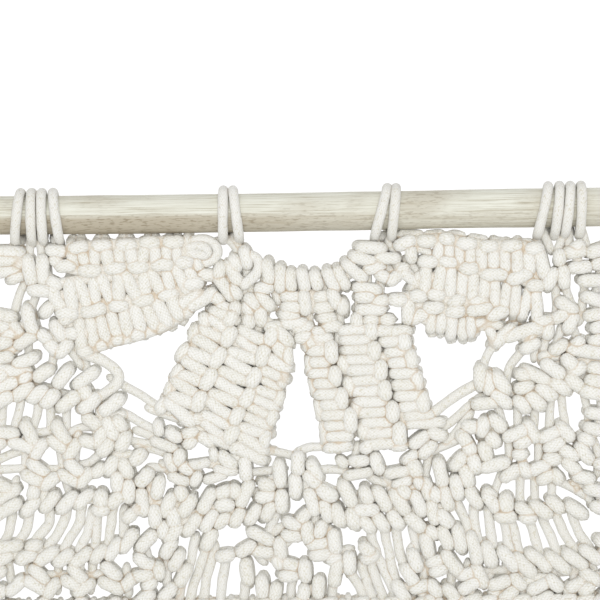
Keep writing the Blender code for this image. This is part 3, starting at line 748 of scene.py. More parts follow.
MIDDLE_RIGHT_BARS = [
    (20.4, -57, 30, -56.4), (20.6, -61.6, 31.6, -61.4), (21.6, -66.2, 33, -66.2), (22.4, -71, 34, -71),
    (23.8, -75.8, 36, -75.6), (25, -80.6, 36.4, -80.2), (26, -86, 38, -85.6), (27, -91, 38, -90.6),
    (28, -96, 40.4, -95.6), (29.6, -101, 41, -100.6), (31, -105.8, 44, -105.2), (33, -111, 44, -110.4)]
MIDDLE_RIGHT_BUMPS = [
    (33.4, -52.6, 33.6, -61.6), (34.4, -62.4, 34.8, -71.4), (37.4, -71, 37.8, -80.6),
    (39.2, -80.8, 39.6, -90.6), (42.6, -90.6, 43.2, -100.8), (45.8, -101, 46.4, -112)]
BETWEEN_BUMPS = [
    (19.6, -68.6, 21.6, -77.4), (21.6, -78.6, 24.4, -88), (26.2, -90.6, 27.2, -98),
    (29, -100.4, 30.4, -109)]
OUTER_RIGHT_BARS = [
    (36, -57.4, 50.6, -57.4), (38.6, -62.4, 49, -62.4), (42.6, -67.6, 51.6, -67.2),
    (42.8, -72.6, 52, -72.2), (44.6, -77.6, 54, -77.2), (44.8, -83, 55, -82.6),
    (46.6, -88.4, 56.6, -88), (47.8, -93.6, 58, -93.4), (49.6, -98.2, 60.6, -97.8),
    (51, -101.6, 66, -101)]
OUTER_RIGHT_BUMPS = [
    (48.6, -58.6, 49, -67), (51.6, -66.4, 52.4, -75.8), (54, -76, 55, -86.2), (57, -86.2, 58, -96.4)]
RIGHT_PETAL_TIES = [(47.6, -94, 48.8, -102.5), (37.5, -69.7, 42.5, -69.7)]


def fan(lift, *chains):
    """The bars of a fan, a chain and how far its bars are tucked in at a time."""
    made = []
    for bars, tuck in chains:
        made += turns(snug(bars), lift=lift, tuck=tuck) + heart(bars, radius=3.4, depth=2.4)
    return made


cords = turns(LEFT_EDGE_BUMPS, lift=2.6, radius=3.2, spread=0)
cords += turns(OUTER_LEFT_BUMPS + MIDDLE_LEFT_BUMPS, lift=4.7, radius=3.5)
cords += turns(INNER_LEFT_BUMPS, lift=4.5, radius=2.8, spread=0)
cords += fan(3.9, (OUTER_LEFT_BARS, 1.2), (MIDDLE_LEFT_BARS, 2.2), (INNER_LEFT_BARS, 0.4))
cords += ties(LEFT_PETAL_TIES)
left_petals = cord_piece("left_petals", cords)
cords = turns(BETWEEN_BUMPS, lift=2.6, radius=3.4)
cords += turns(RIGHT_ARCH_BUMPS, lift=2.6, radius=2.4, spread=0)
cords += turns(INNER_RIGHT_BUMPS + MIDDLE_RIGHT_BUMPS, lift=4.7, radius=3.5)
cords += turns(OUTER_RIGHT_BUMPS, lift=4.5, radius=3.4, spread=-0.6)
cords += fan(3.8, (INNER_RIGHT_BARS, 0.4), (MIDDLE_RIGHT_BARS, 2.2), (OUTER_RIGHT_BARS, 0.7))
cords += ties(RIGHT_PETAL_TIES)
right_petals = cord_piece("right_petals", cords)
for piece in (left_petals, right_petals):
    dress(piece, "macrame")

# ---- Left side ---------------------------------------------------------------------------
# The four cords of the left group of lark's heads open into a net of square knots, a slanting
# bar of hitches at the shoulder, and more net under it. Plaited cotton, tied by hand.
# x0, z0, x1, z1, radius of each turn; x, z of each point of a strand
LEFT_COLUMN = [
    (-148, -17.5, -130, -18, 3.2), (-148, -21.5, -131, -22), (-136, -21.5, -130, -24.5),
    (-129, -19, -126.5, -34, 3.3), (-122, -19, -121, -34, 3.2), (-148, -27.5, -131, -26),
    (-138, -31.5, -130, -28), (-129, -35.2, -117, -37), (-119.6, -30.6, -113, -35),
    (-130, -42.5, -126, -58, 3.2), (-122.5, -48.5, -116.5, -42), (-148, -46, -134, -49),
    (-117.5, -50.5, -111.5, -60.5, 3.2), (-137, -50.5, -131.5, -59.5), (-135.5, -62.5, -124.5, -56.3),
    (-124.5, -55.6, -118, -60.5), (-120.5, -59, -114.5, -66.5), (-116, -67.5, -108, -60),
    (-112, -56.3, -104.5, -57), (-148, -63, -136, -59), (-141.5, -57, -131.5, -54.6),
    (-136.5, -72, -124, -67, 3.2), (-148, -69, -135.5, -66.6), (-148, -73.5, -127, -74),
    (-148, -53, -137, -53), (-114, -51, -106, -47)]
LEFT_COLUMN_STRANDS = [
    [(-127, -11), (-128, -19)], [(-123, -11), (-122, -20)], [(-134, -11), (-137, -18)],
    [(-116, -12), (-112, -18)], [(-130, -32), (-133, -38), (-135, -45)],
    [(-124.5, -36), (-126, -41), (-127.5, -45)], [(-116, -34), (-116.5, -39), (-119, -44)],
    [(-128.5, -59), (-129, -64), (-128.5, -70)], [(-117, -65), (-117.5, -70), (-120, -74)],
    [(-143, -48), (-142, -56), (-145, -64)], [(-112, -60), (-108, -66), (-104, -72)],
    [(-110, -55), (-107, -60), (-106, -64)], [(-104, -64), (-102, -70), (-101, -76)]]
LEFT_SHOULDER = [
    (-148, -84.5, -133, -77.3), (-133.6, -79.5, -128, -75), (-126.6, -78.2, -116.6, -72, 3.3),
    (-116.4, -81.6, -108, -72, 3.3), (-107.6, -82.6, -96, -73.6, 3.1), (-137, -87, -126.6, -80.2),
    (-129.6, -88, -119.6, -82.6), (-123, -90.6, -114.6, -84), (-115.6, -92.6, -104.6, -85),
    (-105, -93.6, -95, -85.6), (-95, -95, -84, -86.6), (-103.4, -81, -101, -88.4),
    (-148, -91, -136, -84.5), (-148, -79, -138, -74)]
LEFT_SHOULDER_STRANDS = [
    [(-133, -85), (-133.5, -92), (-136, -100)], [(-124.5, -87), (-125, -94), (-127.5, -101)],
    [(-119, -90), (-119, -102)], [(-111, -91), (-111.5, -102)], [(-100, -90), (-101, -99)],
    [(-90, -78), (-84, -81.5), (-76, -86), (-69, -91), (-62, -95)],
    [(-92, -91), (-84, -94.5), (-76, -99.5), (-69, -103), (-62, -107)],
    [(-88, -104), (-80, -108), (-66, -110), (-58, -112)], [(-141, -88), (-142, -96), (-142, -104)]]
LEFT_SHOULDER_HEART = [(-148, -80), (-134, -80), (-122, -82), (-110, -86), (-98, -90), (-88, -92)]
SHOULDER_LOOP = [
    (-103, -66), (-99, -67.5), (-93, -70), (-88, -74), (-86, -78.5), (-90.5, -83.5), (-97.5, -88),
    (-104, -92)]
LEFT_NET = [
    (-132, -97.6, -125.5, -110.4, 3.2), (-139.4, -106.6, -125.6, -111.4), (-127.8, -116, -121, -106.6),
    (-117.4, -97.6, -110, -110, 3.2), (-120.4, -105.8, -110.6, -112.2), (-112.3, -116.4, -105.2, -107),
    (-148, -103, -133.6, -103.6), (-103.4, -95.6, -95, -101.4, 3.2), (-98.3, -111, -92.7, -100.6),
    (-105.4, -106.8, -96.6, -109.2), (-129.8, -116.2, -120, -124), (-133, -122.3, -121.6, -127.7),
    (-124, -130, -115, -123.2), (-111.8, -116.6, -103, -124.4), (-116, -122.2, -104, -127.8),
    (-107, -129.4, -100, -121), (-148, -125, -136, -131.4), (-148, -137.4, -133.6, -128.6),
    (-148, -110, -140, -107), (-126, -128, -128.4, -135), (-100, -124.5, -93.4, -119)]
LEFT_NET_STRANDS = [
    [(-127, -103.5), (-118, -103)], [(-111, -104), (-104, -101), (-97, -101)],
    [(-144, -116), (-137, -113), (-130, -111)], [(-121, -121), (-111, -120.5)],
    [(-148, -121), (-131, -120)], [(-131, -110), (-131, -119)], [(-114.5, -111), (-113.5, -121)],
    [(-105, -119), (-100, -117), (-94, -112.6)], [(-144, -104), (-145, -116), (-144, -126)],
    [(-112, -126), (-110, -134)], [(-119, -127), (-119, -135)], [(-104, -126), (-103, -134)],
    [(-136, -126), (-138, -137)], [(-106, -103), (-108, -118)]]
LEFT_SIDE_TIES = [
    (-95.3, -92.5, -95.3, -99.5), (-122.3, -131, -122.3, -137.5), (-140.5, -63.8, -134.5, -63.8),
    (-137.5, -160.7, -130, -160.7), (-92, -95.5, -85, -95.5)]


def net_side(column, shoulder, net, loose):
    """A side: the net of its column, the bar at its shoulder and the net under this, with the
    cords that they are tied on and the loose ones between them."""
    made = turns(column + net, lift=3.9) + turns(shoulder, lift=4.5, radius=3.35)
    return made + packing(column, shoulder, net) + strands(*loose, radius=2.15)


cords = net_side(LEFT_COLUMN, LEFT_SHOULDER, LEFT_NET,
                 LEFT_COLUMN_STRANDS + LEFT_SHOULDER_STRANDS + LEFT_NET_STRANDS)
cords += strands(SHOULDER_LOOP, radius=2.7, depth=3.0)
cords += strands(LEFT_SHOULDER_HEART, radius=2.6, depth=-1.0)
cords += ties(LEFT_SIDE_TIES)
left_side = cord_piece("left_side", cords)
dress(left_side, "macrame")

# ---- Left scallop ------------------------------------------------------------------------
# A bar of double hitches that swings from the shoulder under the petals to the middle, with
# a second one beneath it, and the loose cords that run into it. Plaited cotton, tied by hand.
# x0, z0, x1, z1, radius of each turn; x, z of each point of a strand
LEFT_SCALLOP = [
    (-93, -96.4, -87.5, -107.4), (-88.4, -95.6, -84, -103.4), (-96, -114.4, -89.4, -107),
    (-87.2, -112.4, -81.6, -103.6), (-92.4, -124, -88.2, -115), (-86.2, -116, -81.2, -125.4),
    (-81.2, -118.4, -74, -112.6), (-87.5, -122, -87.3, -132.4), (-82.3, -126, -82.5, -137.4),
    (-78.4, -129, -71, -121.6, 3.4), (-76.7, -130, -75.2, -143.4, 3.1),
    (-69.7, -135.4, -66.8, -124.6, 3.1), (-70.2, -138, -69.7, -149.4), (-66.2, -144, -61, -132.6, 3.1),
    (-61.7, -139, -60.5, -149.4), (-58.8, -129.6, -56, -136.4), (-57.8, -144, -51, -133.6, 3.2),
    (-48.8, -142.4, -41.6, -131, 3.2), (-41.4, -134, -32.6, -131), (-41.4, -139, -32.2, -138.4),
    (-30.3, -140, -24.2, -127.6, 3.1), (-33.3, -129.6, -30, -135.4), (-22.4, -135.6, -12.8, -134),
    (-20.4, -128, -13.6, -131, 3.3), (-11.3, -117.6, -10.5, -131, 3.1), (-10, -131.6, -10, -143),
    (-3.5, -124, -3.5, -136.4, 3.2), (-2, -113.6, -2, -125, 3.2)]
LEFT_SECOND = [
    (-66.5, -145.6, -66, -154.4), (-65, -156, -57.6, -147), (-56, -153, -48.6, -142.6),
    (-47.4, -151, -41, -141), (-42, -149, -34, -143), (-33.4, -149, -28.6, -140),
    (-26.4, -148, -20.6, -138.6), (-19, -146.4, -13.6, -137.6)]
LEFT_UNDER_PETALS = [
    (-72, -107, -58.8, -112.5, 2.5), (-64, -102.9, -56.6, -108.1), (-68.5, -98, -67, -106, 2.6),
    (-57.6, -112, -59, -120.4), (-58.6, -118.6, -51.2, -123.4), (-64.4, -113.8, -60.4, -122.6, 2.6),
    (-54.4, -119.6, -43, -118.4, 2.3), (-63.6, -124.2, -53.2, -128, 2.6),
    (-48.6, -122.6, -52.2, -130, 2.6), (-46.8, -127.4, -35.4, -124, 2.4),
    (-42, -121.4, -30.4, -123, 2.4), (-27.6, -115.6, -26.5, -127.4), (-39.6, -113.8, -31.4, -121.2),
    (-56.4, -105.5, -49, -103.5), (-55.4, -111.2, -50, -106.2), (-57.4, -99.8, -50.6, -94.8),
    (-51.4, -98, -46, -97.4), (-34, -113, -28, -110), (-49.6, -105, -40.8, -109.8),
    (-42.2, -111, -41.4, -118, 2.2)]
LEFT_SCALLOP_STRANDS = [
    [(-72, -120.4), (-66, -121), (-60, -122)], [(-78, -103), (-70, -106)],
    [(-78, -110), (-70, -112), (-64, -114)], [(-27, -123.4), (-18, -123), (-9, -122)],
    [(-37.6, -110), (-37, -118)], [(-72, -92.5), (-66, -95), (-59, -97.4)],
    [(-26, -117), (-20, -115.4), (-14, -113)], [(-16, -113), (-6, -115.5), (0, -118)],
    [(-3, -115), (3, -112), (10, -111.5), (16, -109)], [(-66, -119), (-62, -124)],
    [(-90, -110), (-88, -118), (-84, -128), (-77, -136), (-66, -141), (-54, -140), (-42, -137),
     (-30, -134), (-14, -131), (-4, -128)]]
LEFT_SCALLOP_TIES = [
    (-71.6, -129.5, -71.6, -137), (-44, -118.9, -36, -118.9), (-61, -138.3, -54, -138.3),
    (-58.5, -146.2, -52, -146.2), (-70, -137.1, -63, -137.1), (-54.5, -142.6, -47.5, -142.6),
    (-44.5, -139.6, -38.5, -139.6)]


def scallop(first, second, under_petals, loose, small):
    """A scallop: its first and second bars, the turns under the petals and the loose cords,
    with small ties between them."""
    made = turns(first, lift=4.4, radius=3.3) + turns(second, lift=4.0)
    made += turns(under_petals, lift=3.8)
    made += packing(first, second) + packing(under_petals, reach=7.5, radius=2.2)
    return made + strands(*loose) + heart(second) + ties(small)


cords = scallop(LEFT_SCALLOP, LEFT_SECOND, LEFT_UNDER_PETALS, LEFT_SCALLOP_STRANDS,
                LEFT_SCALLOP_TIES)
left_scallop = cord_piece("left_scallop", cords)
dress(left_scallop, "macrame")

# ---- Left band ---------------------------------------------------------------------------
# Two bars of hitches with open cords between them, then net again down to the hem. Plaited
# cotton, tied by hand.
# x0, z0, x1, z1, radius of each turn; x, z of each point of a strand
LEFT_BAND = [
    (-148, -144, -133.2, -135.6), (-132.4, -142.6, -125, -133.6), (-123.4, -140.6, -115.6, -131.6),
    (-116, -141, -106.6, -132), (-108, -139, -99, -131), (-95.5, -130.6, -95.5, -140, 3.6),
    (-99.6, -140.4, -91.4, -140), (-92, -139, -84.6, -132), (-85, -145.4, -79, -141),
    (-80, -141, -75, -138.6)]
LEFT_BAND_LOW = [
    (-148, -165, -137, -160), (-148, -158, -132.6, -156.3), (-136, -164, -126, -160),
    (-131.6, -158.4, -123.6, -155.6), (-127.4, -165.5, -116, -158.6), (-118, -166, -109, -159.6),
    (-110.4, -166.5, -100, -159), (-100.4, -165, -93, -157.6), (-93, -164, -86.6, -154),
    (-86.4, -160.5, -79, -149.6), (-78.4, -160, -69.6, -150.6), (-66.4, -163.4, -60.6, -154.6)]
LEFT_BAND_STRANDS = [
    [(-138, -142), (-139.5, -151), (-143, -157)], [(-129.5, -141), (-131.5, -150), (-137, -157)],
    [(-120, -139), (-121, -147), (-130, -159)], [(-112, -139), (-113.5, -147), (-122, -159)],
    [(-104.5, -138), (-107, -147.5), (-114, -160)], [(-99.5, -140), (-102, -150), (-106, -160)],
    [(-97, -140), (-98, -150), (-98.6, -160)], [(-89.5, -138), (-91.5, -150), (-92, -159)],
    [(-84.5, -140), (-84.8, -150), (-84, -156)], [(-146, -142), (-146.6, -158)]]
LEFT_LOW_NET = [
    (-129.3, -166, -121, -175), (-132.4, -171.8, -121.6, -178.8), (-141, -180, -132, -171.6),
    (-110.8, -166, -103, -175), (-115, -172.2, -104, -177.8), (-123, -181.4, -115.6, -173),
    (-95.4, -165.6, -86.6, -173.4), (-97, -173.2, -85, -178.8), (-109, -180.4, -99, -173.6),
    (-86.3, -178.4, -80, -171), (-80, -162, -70.6, -168.4, 3.2), (-69, -165, -68, -174),
    (-81.4, -172, -70.6, -171), (-63, -169.4, -57, -160), (-60, -177, -53.6, -166.6),
    (-148, -172, -141, -167), (-148, -182, -141, -176), (-129, -189, -121, -182),
    (-112, -189, -103, -182), (-95, -189, -87, -182), (-80, -186, -71, -179), (-68, -184, -61, -176),
    (-76, -178, -70, -173.6)]
LEFT_LOW_STRANDS = [
    [(-123, -171), (-110, -170.5)], [(-107, -171.5), (-94, -170.5)], [(-140, -164), (-138, -176)],
    [(-116, -165), (-117, -178)], [(-131, -163), (-129, -175)], [(-100, -165), (-101, -178)],
    [(-84, -168), (-83, -180)], [(-64, -160), (-65, -176)], [(-74, -168), (-74, -182)],
    [(-58, -174), (-60, -186)], [(-75, -158), (-73, -166)], [(-147, -160), (-147, -180)]]
LEFT_BAND_TIES = [(-88, -114.2, -81.5, -114.2)]


def band(high, low, net, between, loose, small):
    """A band: its high and low bars, the net under them, the cords between the bars and the
    loose ones in the net, with small ties between them."""
    made = turns(high + low, lift=4.3, radius=3.1) + turns(net, lift=3.9) + packing(high, low, net)
    return made + strands(*between, radius=2.45, shake=0.25) + strands(*loose) + ties(small)


cords = band(LEFT_BAND, LEFT_BAND_LOW, LEFT_LOW_NET, LEFT_BAND_STRANDS, LEFT_LOW_STRANDS,
             LEFT_BAND_TIES)
left_band = cord_piece("left_band", cords)
dress(left_band, "macrame")

# ---- Flower ------------------------------------------------------------------------------
# Four square knots set crosswise under the point of the arch, with the loose cords that fan
# out on both sides of them. Plaited cotton, tied by hand.
# x0, z0, x1, z1, radius of each turn; x, z of each point of a strand
FLOWER = [
    (-9.4, -146, -0.2, -150.2), (-10.4, -152.8, -0.2, -154.6), (1.5, -146.6, 2.5, -158, 3.2),
    (-2.4, -147.8, 3.2, -141), (1.6, -158, 12.8, -157.4), (3, -163.4, 13.8, -162),
    (14, -150.6, 15.5, -163, 3.2), (-11, -166, -1.6, -168.6), (-12, -172.5, -1.6, -172.5),
    (0, -165, 1, -176, 3.2), (7.4, -172.6, 6.5, -184, 3.1), (16.5, -164, 14, -178, 3.1),
    (21.6, -161.5, 21.4, -173, 3.2), (-41.6, -163.6, -32.4, -162, 3), (27.4, -157.4, 33, -164.4, 3.2),
    (27.6, -166.3, 35.4, -161.8, 3.2), (-27.6, -164, -26.5, -177.4, 3.1),
    (-20, -171.6, -19.4, -183.6, 3.1), (-31.4, -162.2, -22.6, -156.8), (-26.4, -150.4, -13.6, -157),
    (-24.4, -160.3, -13.6, -162), (-11.5, -154.2, -10.5, -165.4, 3.2), (-47, -160, -42, -150.2, 3.2),
    (10, -147, 6, -155), (11, -166, 18, -164), (-12.6, -175.6, -14.6, -185), (0.6, -176.4, -1, -185),
    (-13.6, -163.4, -10.4, -168.4)]
FLOWER_STRANDS = [
    [(-51, -154), (-54, -166), (-58, -178), (-60, -188)],
    [(-46, -158), (-50, -170), (-54, -182), (-55, -190)],
    [(-42, -158), (-45, -170), (-48, -184), (-49, -190)], [(-36.6, -163), (-38.4, -174), (-41, -190)],
    [(-17, -157), (-15, -153), (-10, -149)], [(-28, -176), (-29, -190)], [(-20, -181), (-23, -190)],
    [(22, -171), (27, -180), (29, -190)], [(14, -177), (12, -190)],
    [(27, -168), (30, -176), (33, -190)], [(32, -165), (34, -174), (37, -182), (39, -190)],
    [(32, -149), (33.5, -160), (37.6, -170), (42, -180), (44, -190)],
    [(38, -149), (39.4, -158), (41, -166), (43, -174), (47, -182)],
    [(44, -150), (45, -160), (48, -168)], [(52, -151), (54, -162)], [(-13, -143), (-16, -152)],
    [(6, -145), (4, -151)], [(11, -145), (8, -156)], [(-24, -158), (-19, -166)], [(6, -176), (4, -190)],
    [(-3, -168), (-6, -178), (-6, -190)], [(17, -162), (22, -160)]]
FLOWER_TIES = [(2.1, -127.5, 2.1, -134.5), (12.3, -151, 12.3, -157.5)]
cords = turns(FLOWER, lift=3.8)
cords += strands(*FLOWER_STRANDS, radius=2.4, shake=0.25)
cords += packing(FLOWER)
cords += ties(FLOWER_TIES)
flower = cord_piece("flower", cords)
dress(flower, "macrame")

# ---- Right side --------------------------------------------------------------------------
# The right group of lark's heads opens into net, shoulder and net in the same way. Plaited
# cotton, tied by hand.
# x0, z0, x1, z1, radius of each turn; x, z of each point of a strand
RIGHT_COLUMN = [
    (125, -22, 136.4, -20.3, 3.3), (136, -22.4, 148, -18.6, 3.3), (123, -20, 123, -27.4, 3.2),
    (127, -29, 138.4, -28.4), (131.6, -35, 148, -34.6), (121.4, -29, 116, -39, 3.2),
    (124.7, -27.6, 125, -39, 3.1), (121, -43.6, 131.4, -50, 3.2), (110, -54, 120.4, -53.3),
    (118.6, -54, 127.9, -48.6), (117, -54, 117, -62.4), (130.4, -50, 125.6, -59.4),
    (105, -63, 112.8, -56.6), (138, -27.6, 148, -26), (133, -42, 148, -46), (134, -52, 148, -50),
    (134.6, -17.3, 128.6, -19.8), (137, -58, 148, -55), (104, -68, 113, -63), (136, -64, 148, -62),
    (118, -69, 126, -64), (128, -67, 134, -62)]
RIGHT_COLUMN_STRANDS = [
    [(115.5, -11), (119, -20)], [(126, -11), (122.5, -20)], [(128, -11), (128, -19)],
    [(134, -11), (136, -18)], [(121, -37), (121.5, -50)], [(125.6, -37), (129, -47)],
    [(112, -58), (110.5, -71)], [(123.6, -57), (121, -66), (121, -75)], [(129, -56), (132, -66)],
    [(114, -36), (112, -44), (112, -53)], [(142, -22), (142, -34), (139, -45), (144, -58), (142, -68)],
    [(116.6, -60), (114, -72)], [(135, -33), (134, -46), (132, -54)]]
RIGHT_SHOULDER = [
    (84.5, -73.6, 85, -86.4, 3.2), (88, -76.6, 89, -88.4, 3.1), (91, -77.6, 98, -88.4, 3.5),
    (101, -79, 109.4, -79, 3.1), (100.6, -86, 110, -83.8, 3.1), (104.6, -76.2, 118.4, -83.2, 3.1),
    (114, -72.6, 124, -80.4), (124, -70, 130.4, -77.4), (126.6, -79, 134.4, -74.6),
    (125.6, -66.6, 148, -70.4, 3.2), (80.6, -93, 94.4, -91.3, 3.1), (90, -85.6, 99, -94.4, 3.1),
    (100.6, -89.6, 108, -96.4), (106.6, -87.6, 115, -95.4), (110.6, -84.6, 121, -89.9),
    (117.6, -81.6, 127.4, -87.9), (125, -79.6, 133.4, -86.4), (131.6, -86.6, 148, -89.4),
    (135, -76, 148, -78), (134, -82, 148, -83.5)]
RIGHT_SHOULDER_STRANDS = [
    [(92, -64), (87.5, -71), (86.5, -78)], [(106, -66), (99, -75), (97, -83)],
    [(79, -93.5), (72, -100), (64, -105.6)], [(80, -97), (75, -104), (68, -111.4)],
    [(102.5, -91), (102.5, -104)], [(118, -88), (117.5, -104)], [(122.5, -86), (125, -104)],
    [(134, -88), (136, -100)], [(111, -92), (110, -104)], [(92, -90), (96, -106)],
    [(142, -86), (142, -100)]]
RIGHT_SHOULDER_LOOP = [(88, -80), (81, -84), (75, -87.4), (68, -92), (61, -97.4)]
RIGHT_SHOULDER_HEART = [(84, -90), (96, -88), (108, -86), (120, -82), (134, -80), (148, -79)]
RIGHT_NET = [
    (95, -109.3, 108, -104.2), (106, -100.6, 111.2, -111, 3.1), (112, -110, 123.4, -104.6),
    (120.8, -102, 128, -110.4, 3.1), (100.6, -113, 108.4, -108.8), (114.6, -114.8, 124.4, -110.2),
    (121.6, -113.8, 131, -119.2), (129.8, -112, 137.4, -121.4, 3.1), (134, -97, 148, -99),
    (133, -104, 148, -107), (84, -123.3, 98.4, -119.8, 3.2), (94, -128.8, 103.4, -122.6),
    (107, -124.8, 117.4, -121.2), (111.6, -130.4, 119.4, -125), (100, -116.5, 106.4, -117),
    (114, -118.3, 122.4, -119.7), (123.6, -118.8, 131, -126.4), (127.6, -126.8, 138.4, -129.2),
    (103, -121, 108, -127), (118, -124, 122.6, -131), (131, -108, 138, -112), (138, -121, 148, -124),
    (86, -133, 91, -137.4)]
RIGHT_NET_STRANDS = [
    [(121, -129.5), (126, -132), (134, -136.6)], [(128, -130.6), (144, -133.5)],
    [(98, -110), (98, -119)], [(94.5, -125), (90, -136)], [(103, -127), (103, -139.5)],
    [(110, -128), (110, -139)], [(118, -130), (118, -139)], [(99, -127), (112, -126.5)],
    [(112, -110), (112, -122)], [(120, -110), (119, -122)], [(136, -106), (140, -116), (140, -126)],
    [(80, -119), (86, -121)], [(128, -122), (130, -134)], [(144, -100), (144, -140)],
    [(134, -136), (140, -144)]]
RIGHT_SIDE_TIES = [
    (131, -72.7, 142.5, -73), (109, -175.2, 115.5, -175.2), (104.5, -176.4, 112.5, -176.4),
    (125, -179.5, 125, -186), (114.5, -70.3, 121, -70.3), (125.1, -73.5, 125.1, -80)]
cords = net_side(RIGHT_COLUMN, RIGHT_SHOULDER, RIGHT_NET,
                 RIGHT_COLUMN_STRANDS + RIGHT_SHOULDER_STRANDS + RIGHT_NET_STRANDS)
cords += strands(RIGHT_SHOULDER_LOOP, radius=2.6, depth=2.0)
cords += strands(RIGHT_SHOULDER_HEART, radius=2.6, depth=-1.0)
cords += ties(RIGHT_SIDE_TIES)
right_side = cord_piece("right_side", cords)
dress(right_side, "macrame")

# ---- Right scallop -----------------------------------------------------------------------
# The bar of double hitches on the other side, the second and third ones beneath it, and the
# loose cords that run into them. Plaited cotton, tied by hand.
# x0, z0, x1, z1, radius of each turn; x, z of each point of a strand
RIGHT_SCALLOP = [
    (89, -98.2, 96, -105.4), (75.6, -102.4, 84, -104), (86.6, -98.6, 84.4, -108.4),
    (74, -105, 79.4, -113), (77.8, -110, 80.2, -117), (88.2, -106.6, 92.4, -112.4),
    (85.3, -110.6, 88, -120), (70.6, -123.4, 77.4, -115.6, 3.1), (79.8, -115.6, 82.7, -125.4),
    (76.3, -120.6, 78.9, -132), (71.8, -126, 73.9, -137.4), (63.8, -117.6, 66.7, -132, 3.2),
    (65.8, -130.6, 69.7, -142.4, 3.1), (57.3, -127, 60.2, -138, 3.2), (60.6, -132.6, 64.4, -137.4),
    (51.8, -133, 57.2, -145.4, 3.1), (42.2, -132.6, 49.8, -144.4, 3.3), (45.6, -131, 50.4, -136.4),
    (34.2, -131, 40.8, -142.4, 3.3), (28.2, -130.6, 31.8, -139.4, 3.1), (23.6, -142, 36, -142),
    (18.2, -128, 24.4, -140.4, 3.3), (6.6, -131, 16, -136.4, 3.5), (3.3, -118, 8.2, -128.4, 3.1),
    (1, -123.3, 8, -131), (2.3, -131, 6.2, -144.4, 3.2), (9.3, -136.6, 12.7, -147.4, 3.1),
    (14.8, -138.6, 18.7, -149.4), (22.3, -141, 25.2, -151), (60.3, -137, 62.7, -149.4, 3.1),
    (63.6, -142.6, 70, -150.4)]
RIGHT_SECOND = [
    (27, -145.2, 33.4, -152.4), (33.6, -143.6, 40, -152, 3.1), (40.6, -142.6, 47, -151, 3.1),
    (48.6, -144.2, 57.4, -152.4, 3.2), (57, -153, 60, -165.4, 3.2), (58.8, -150.6, 63.4, -155.4),
    (64.7, -150, 69.8, -161, 3.1), (72.3, -149.6, 75.2, -163, 3.1), (78.8, -152.6, 82.7, -169, 3.1)]
RIGHT_UNDER_PETALS = [
    (34, -115, 36.8, -125.4, 3.1), (22, -119, 31.8, -118.6, 2.8), (16.6, -117, 21, -121.2, 2.6),
    (19.6, -126, 33.4, -123.6, 2.6), (39, -125, 51.8, -123.4, 2.8), (42.5, -131, 52.2, -127.4, 2.6),
    (50.8, -118.4, 55.4, -127, 3.4), (53.6, -126, 57, -132.6, 2.8), (47.6, -120, 54.6, -115, 2.5),
    (51, -112.4, 60.4, -106), (59.6, -104.8, 68.4, -108.4), (55.6, -117.6, 63.4, -110),
    (28, -114, 34, -110), (42, -112, 50, -111.4)]
RIGHT_SCALLOP_STRANDS = [
    [(4, -124), (12, -122.6), (21, -123.4)], [(30, -124.6), (34, -127.4), (38.5, -129.4), (45, -130)],
    [(60, -115.4), (68, -112), (78, -108)], [(26, -112), (25, -119)], [(30, -112), (30, -119)],
    [(40, -126), (42, -133)], [(60, -117), (58, -128)],
    [(90, -104), (86, -114), (79, -124), (70, -132), (58, -138), (44, -138), (30, -135),
     (16, -133), (4, -127)], [(66, -144), (70, -149.5), (73, -155)],
    [(56, -150), (55, -156), (51, -161)]]
RIGHT_SCALLOP_TIES = [
    (49.5, -131.8, 56.7, -131.8), (28.2, -134.5, 28.2, -141), (44.5, -138, 44.5, -144.5),
    (63.5, -141.1, 70, -141.1), (53.8, -140, 53.8, -146.5)]
cords = scallop(RIGHT_SCALLOP, RIGHT_SECOND, RIGHT_UNDER_PETALS, RIGHT_SCALLOP_STRANDS,
                RIGHT_SCALLOP_TIES)
right_scallop = cord_piece("right_scallop", cords)
dress(right_scallop, "macrame")

# ---- Right band --------------------------------------------------------------------------
# Two bars of hitches with open cords between them, then net again down to the hem. Plaited
# cotton, tied by hand.
# x0, z0, x1, z1, radius of each turn; x, z of each point of a strand
RIGHT_BAND = [
    (77.8, -131.6, 84.2, -142), (85.8, -133.6, 92.8, -144), (96, -135, 96, -145, 3.6),
    (90.6, -146, 101, -146), (100.6, -140.2, 109, -146), (102, -146.5, 110.4, -146.5),
    (107.6, -139.2, 117.4, -146.3), (115.6, -137.2, 123.4, -144), (124.6, -139.7, 134, -147),
    (136, -141, 148, -144), (133, -133, 148, -136)]
RIGHT_BAND_LOW = [
    (85.7, -157.6, 89.7, -170, 3.4), (92.6, -160.6, 101.4, -171.4, 3.3),
    (99, -163.6, 109.4, -174.4, 3.2), (105.6, -162.7, 117.4, -171.4, 3.1), (114.6, -163.7, 126, -173),
    (122.6, -162.7, 134.4, -171), (130.6, -160.7, 141.4, -168.4, 3.1), (138, -157, 148, -161),
    (139.6, -162, 148, -168)]
RIGHT_BAND_STRANDS = [
    [(70, -136), (75, -142.6), (77.5, -150), (76.6, -157)], [(81, -140), (81.5, -150), (83.5, -160)],
    [(88, -142), (88.6, -150), (89.5, -160)], [(95, -147), (96.4, -154), (98.5, -163)],
    [(98, -147), (101, -157), (103.5, -166)], [(106, -145), (108.5, -153), (113, -167)],
    [(113, -144), (116, -153), (122, -167)], [(119, -142), (121, -149), (130, -165)],
    [(127, -144), (129, -151), (137, -165)], [(146, -143), (147, -160)]]
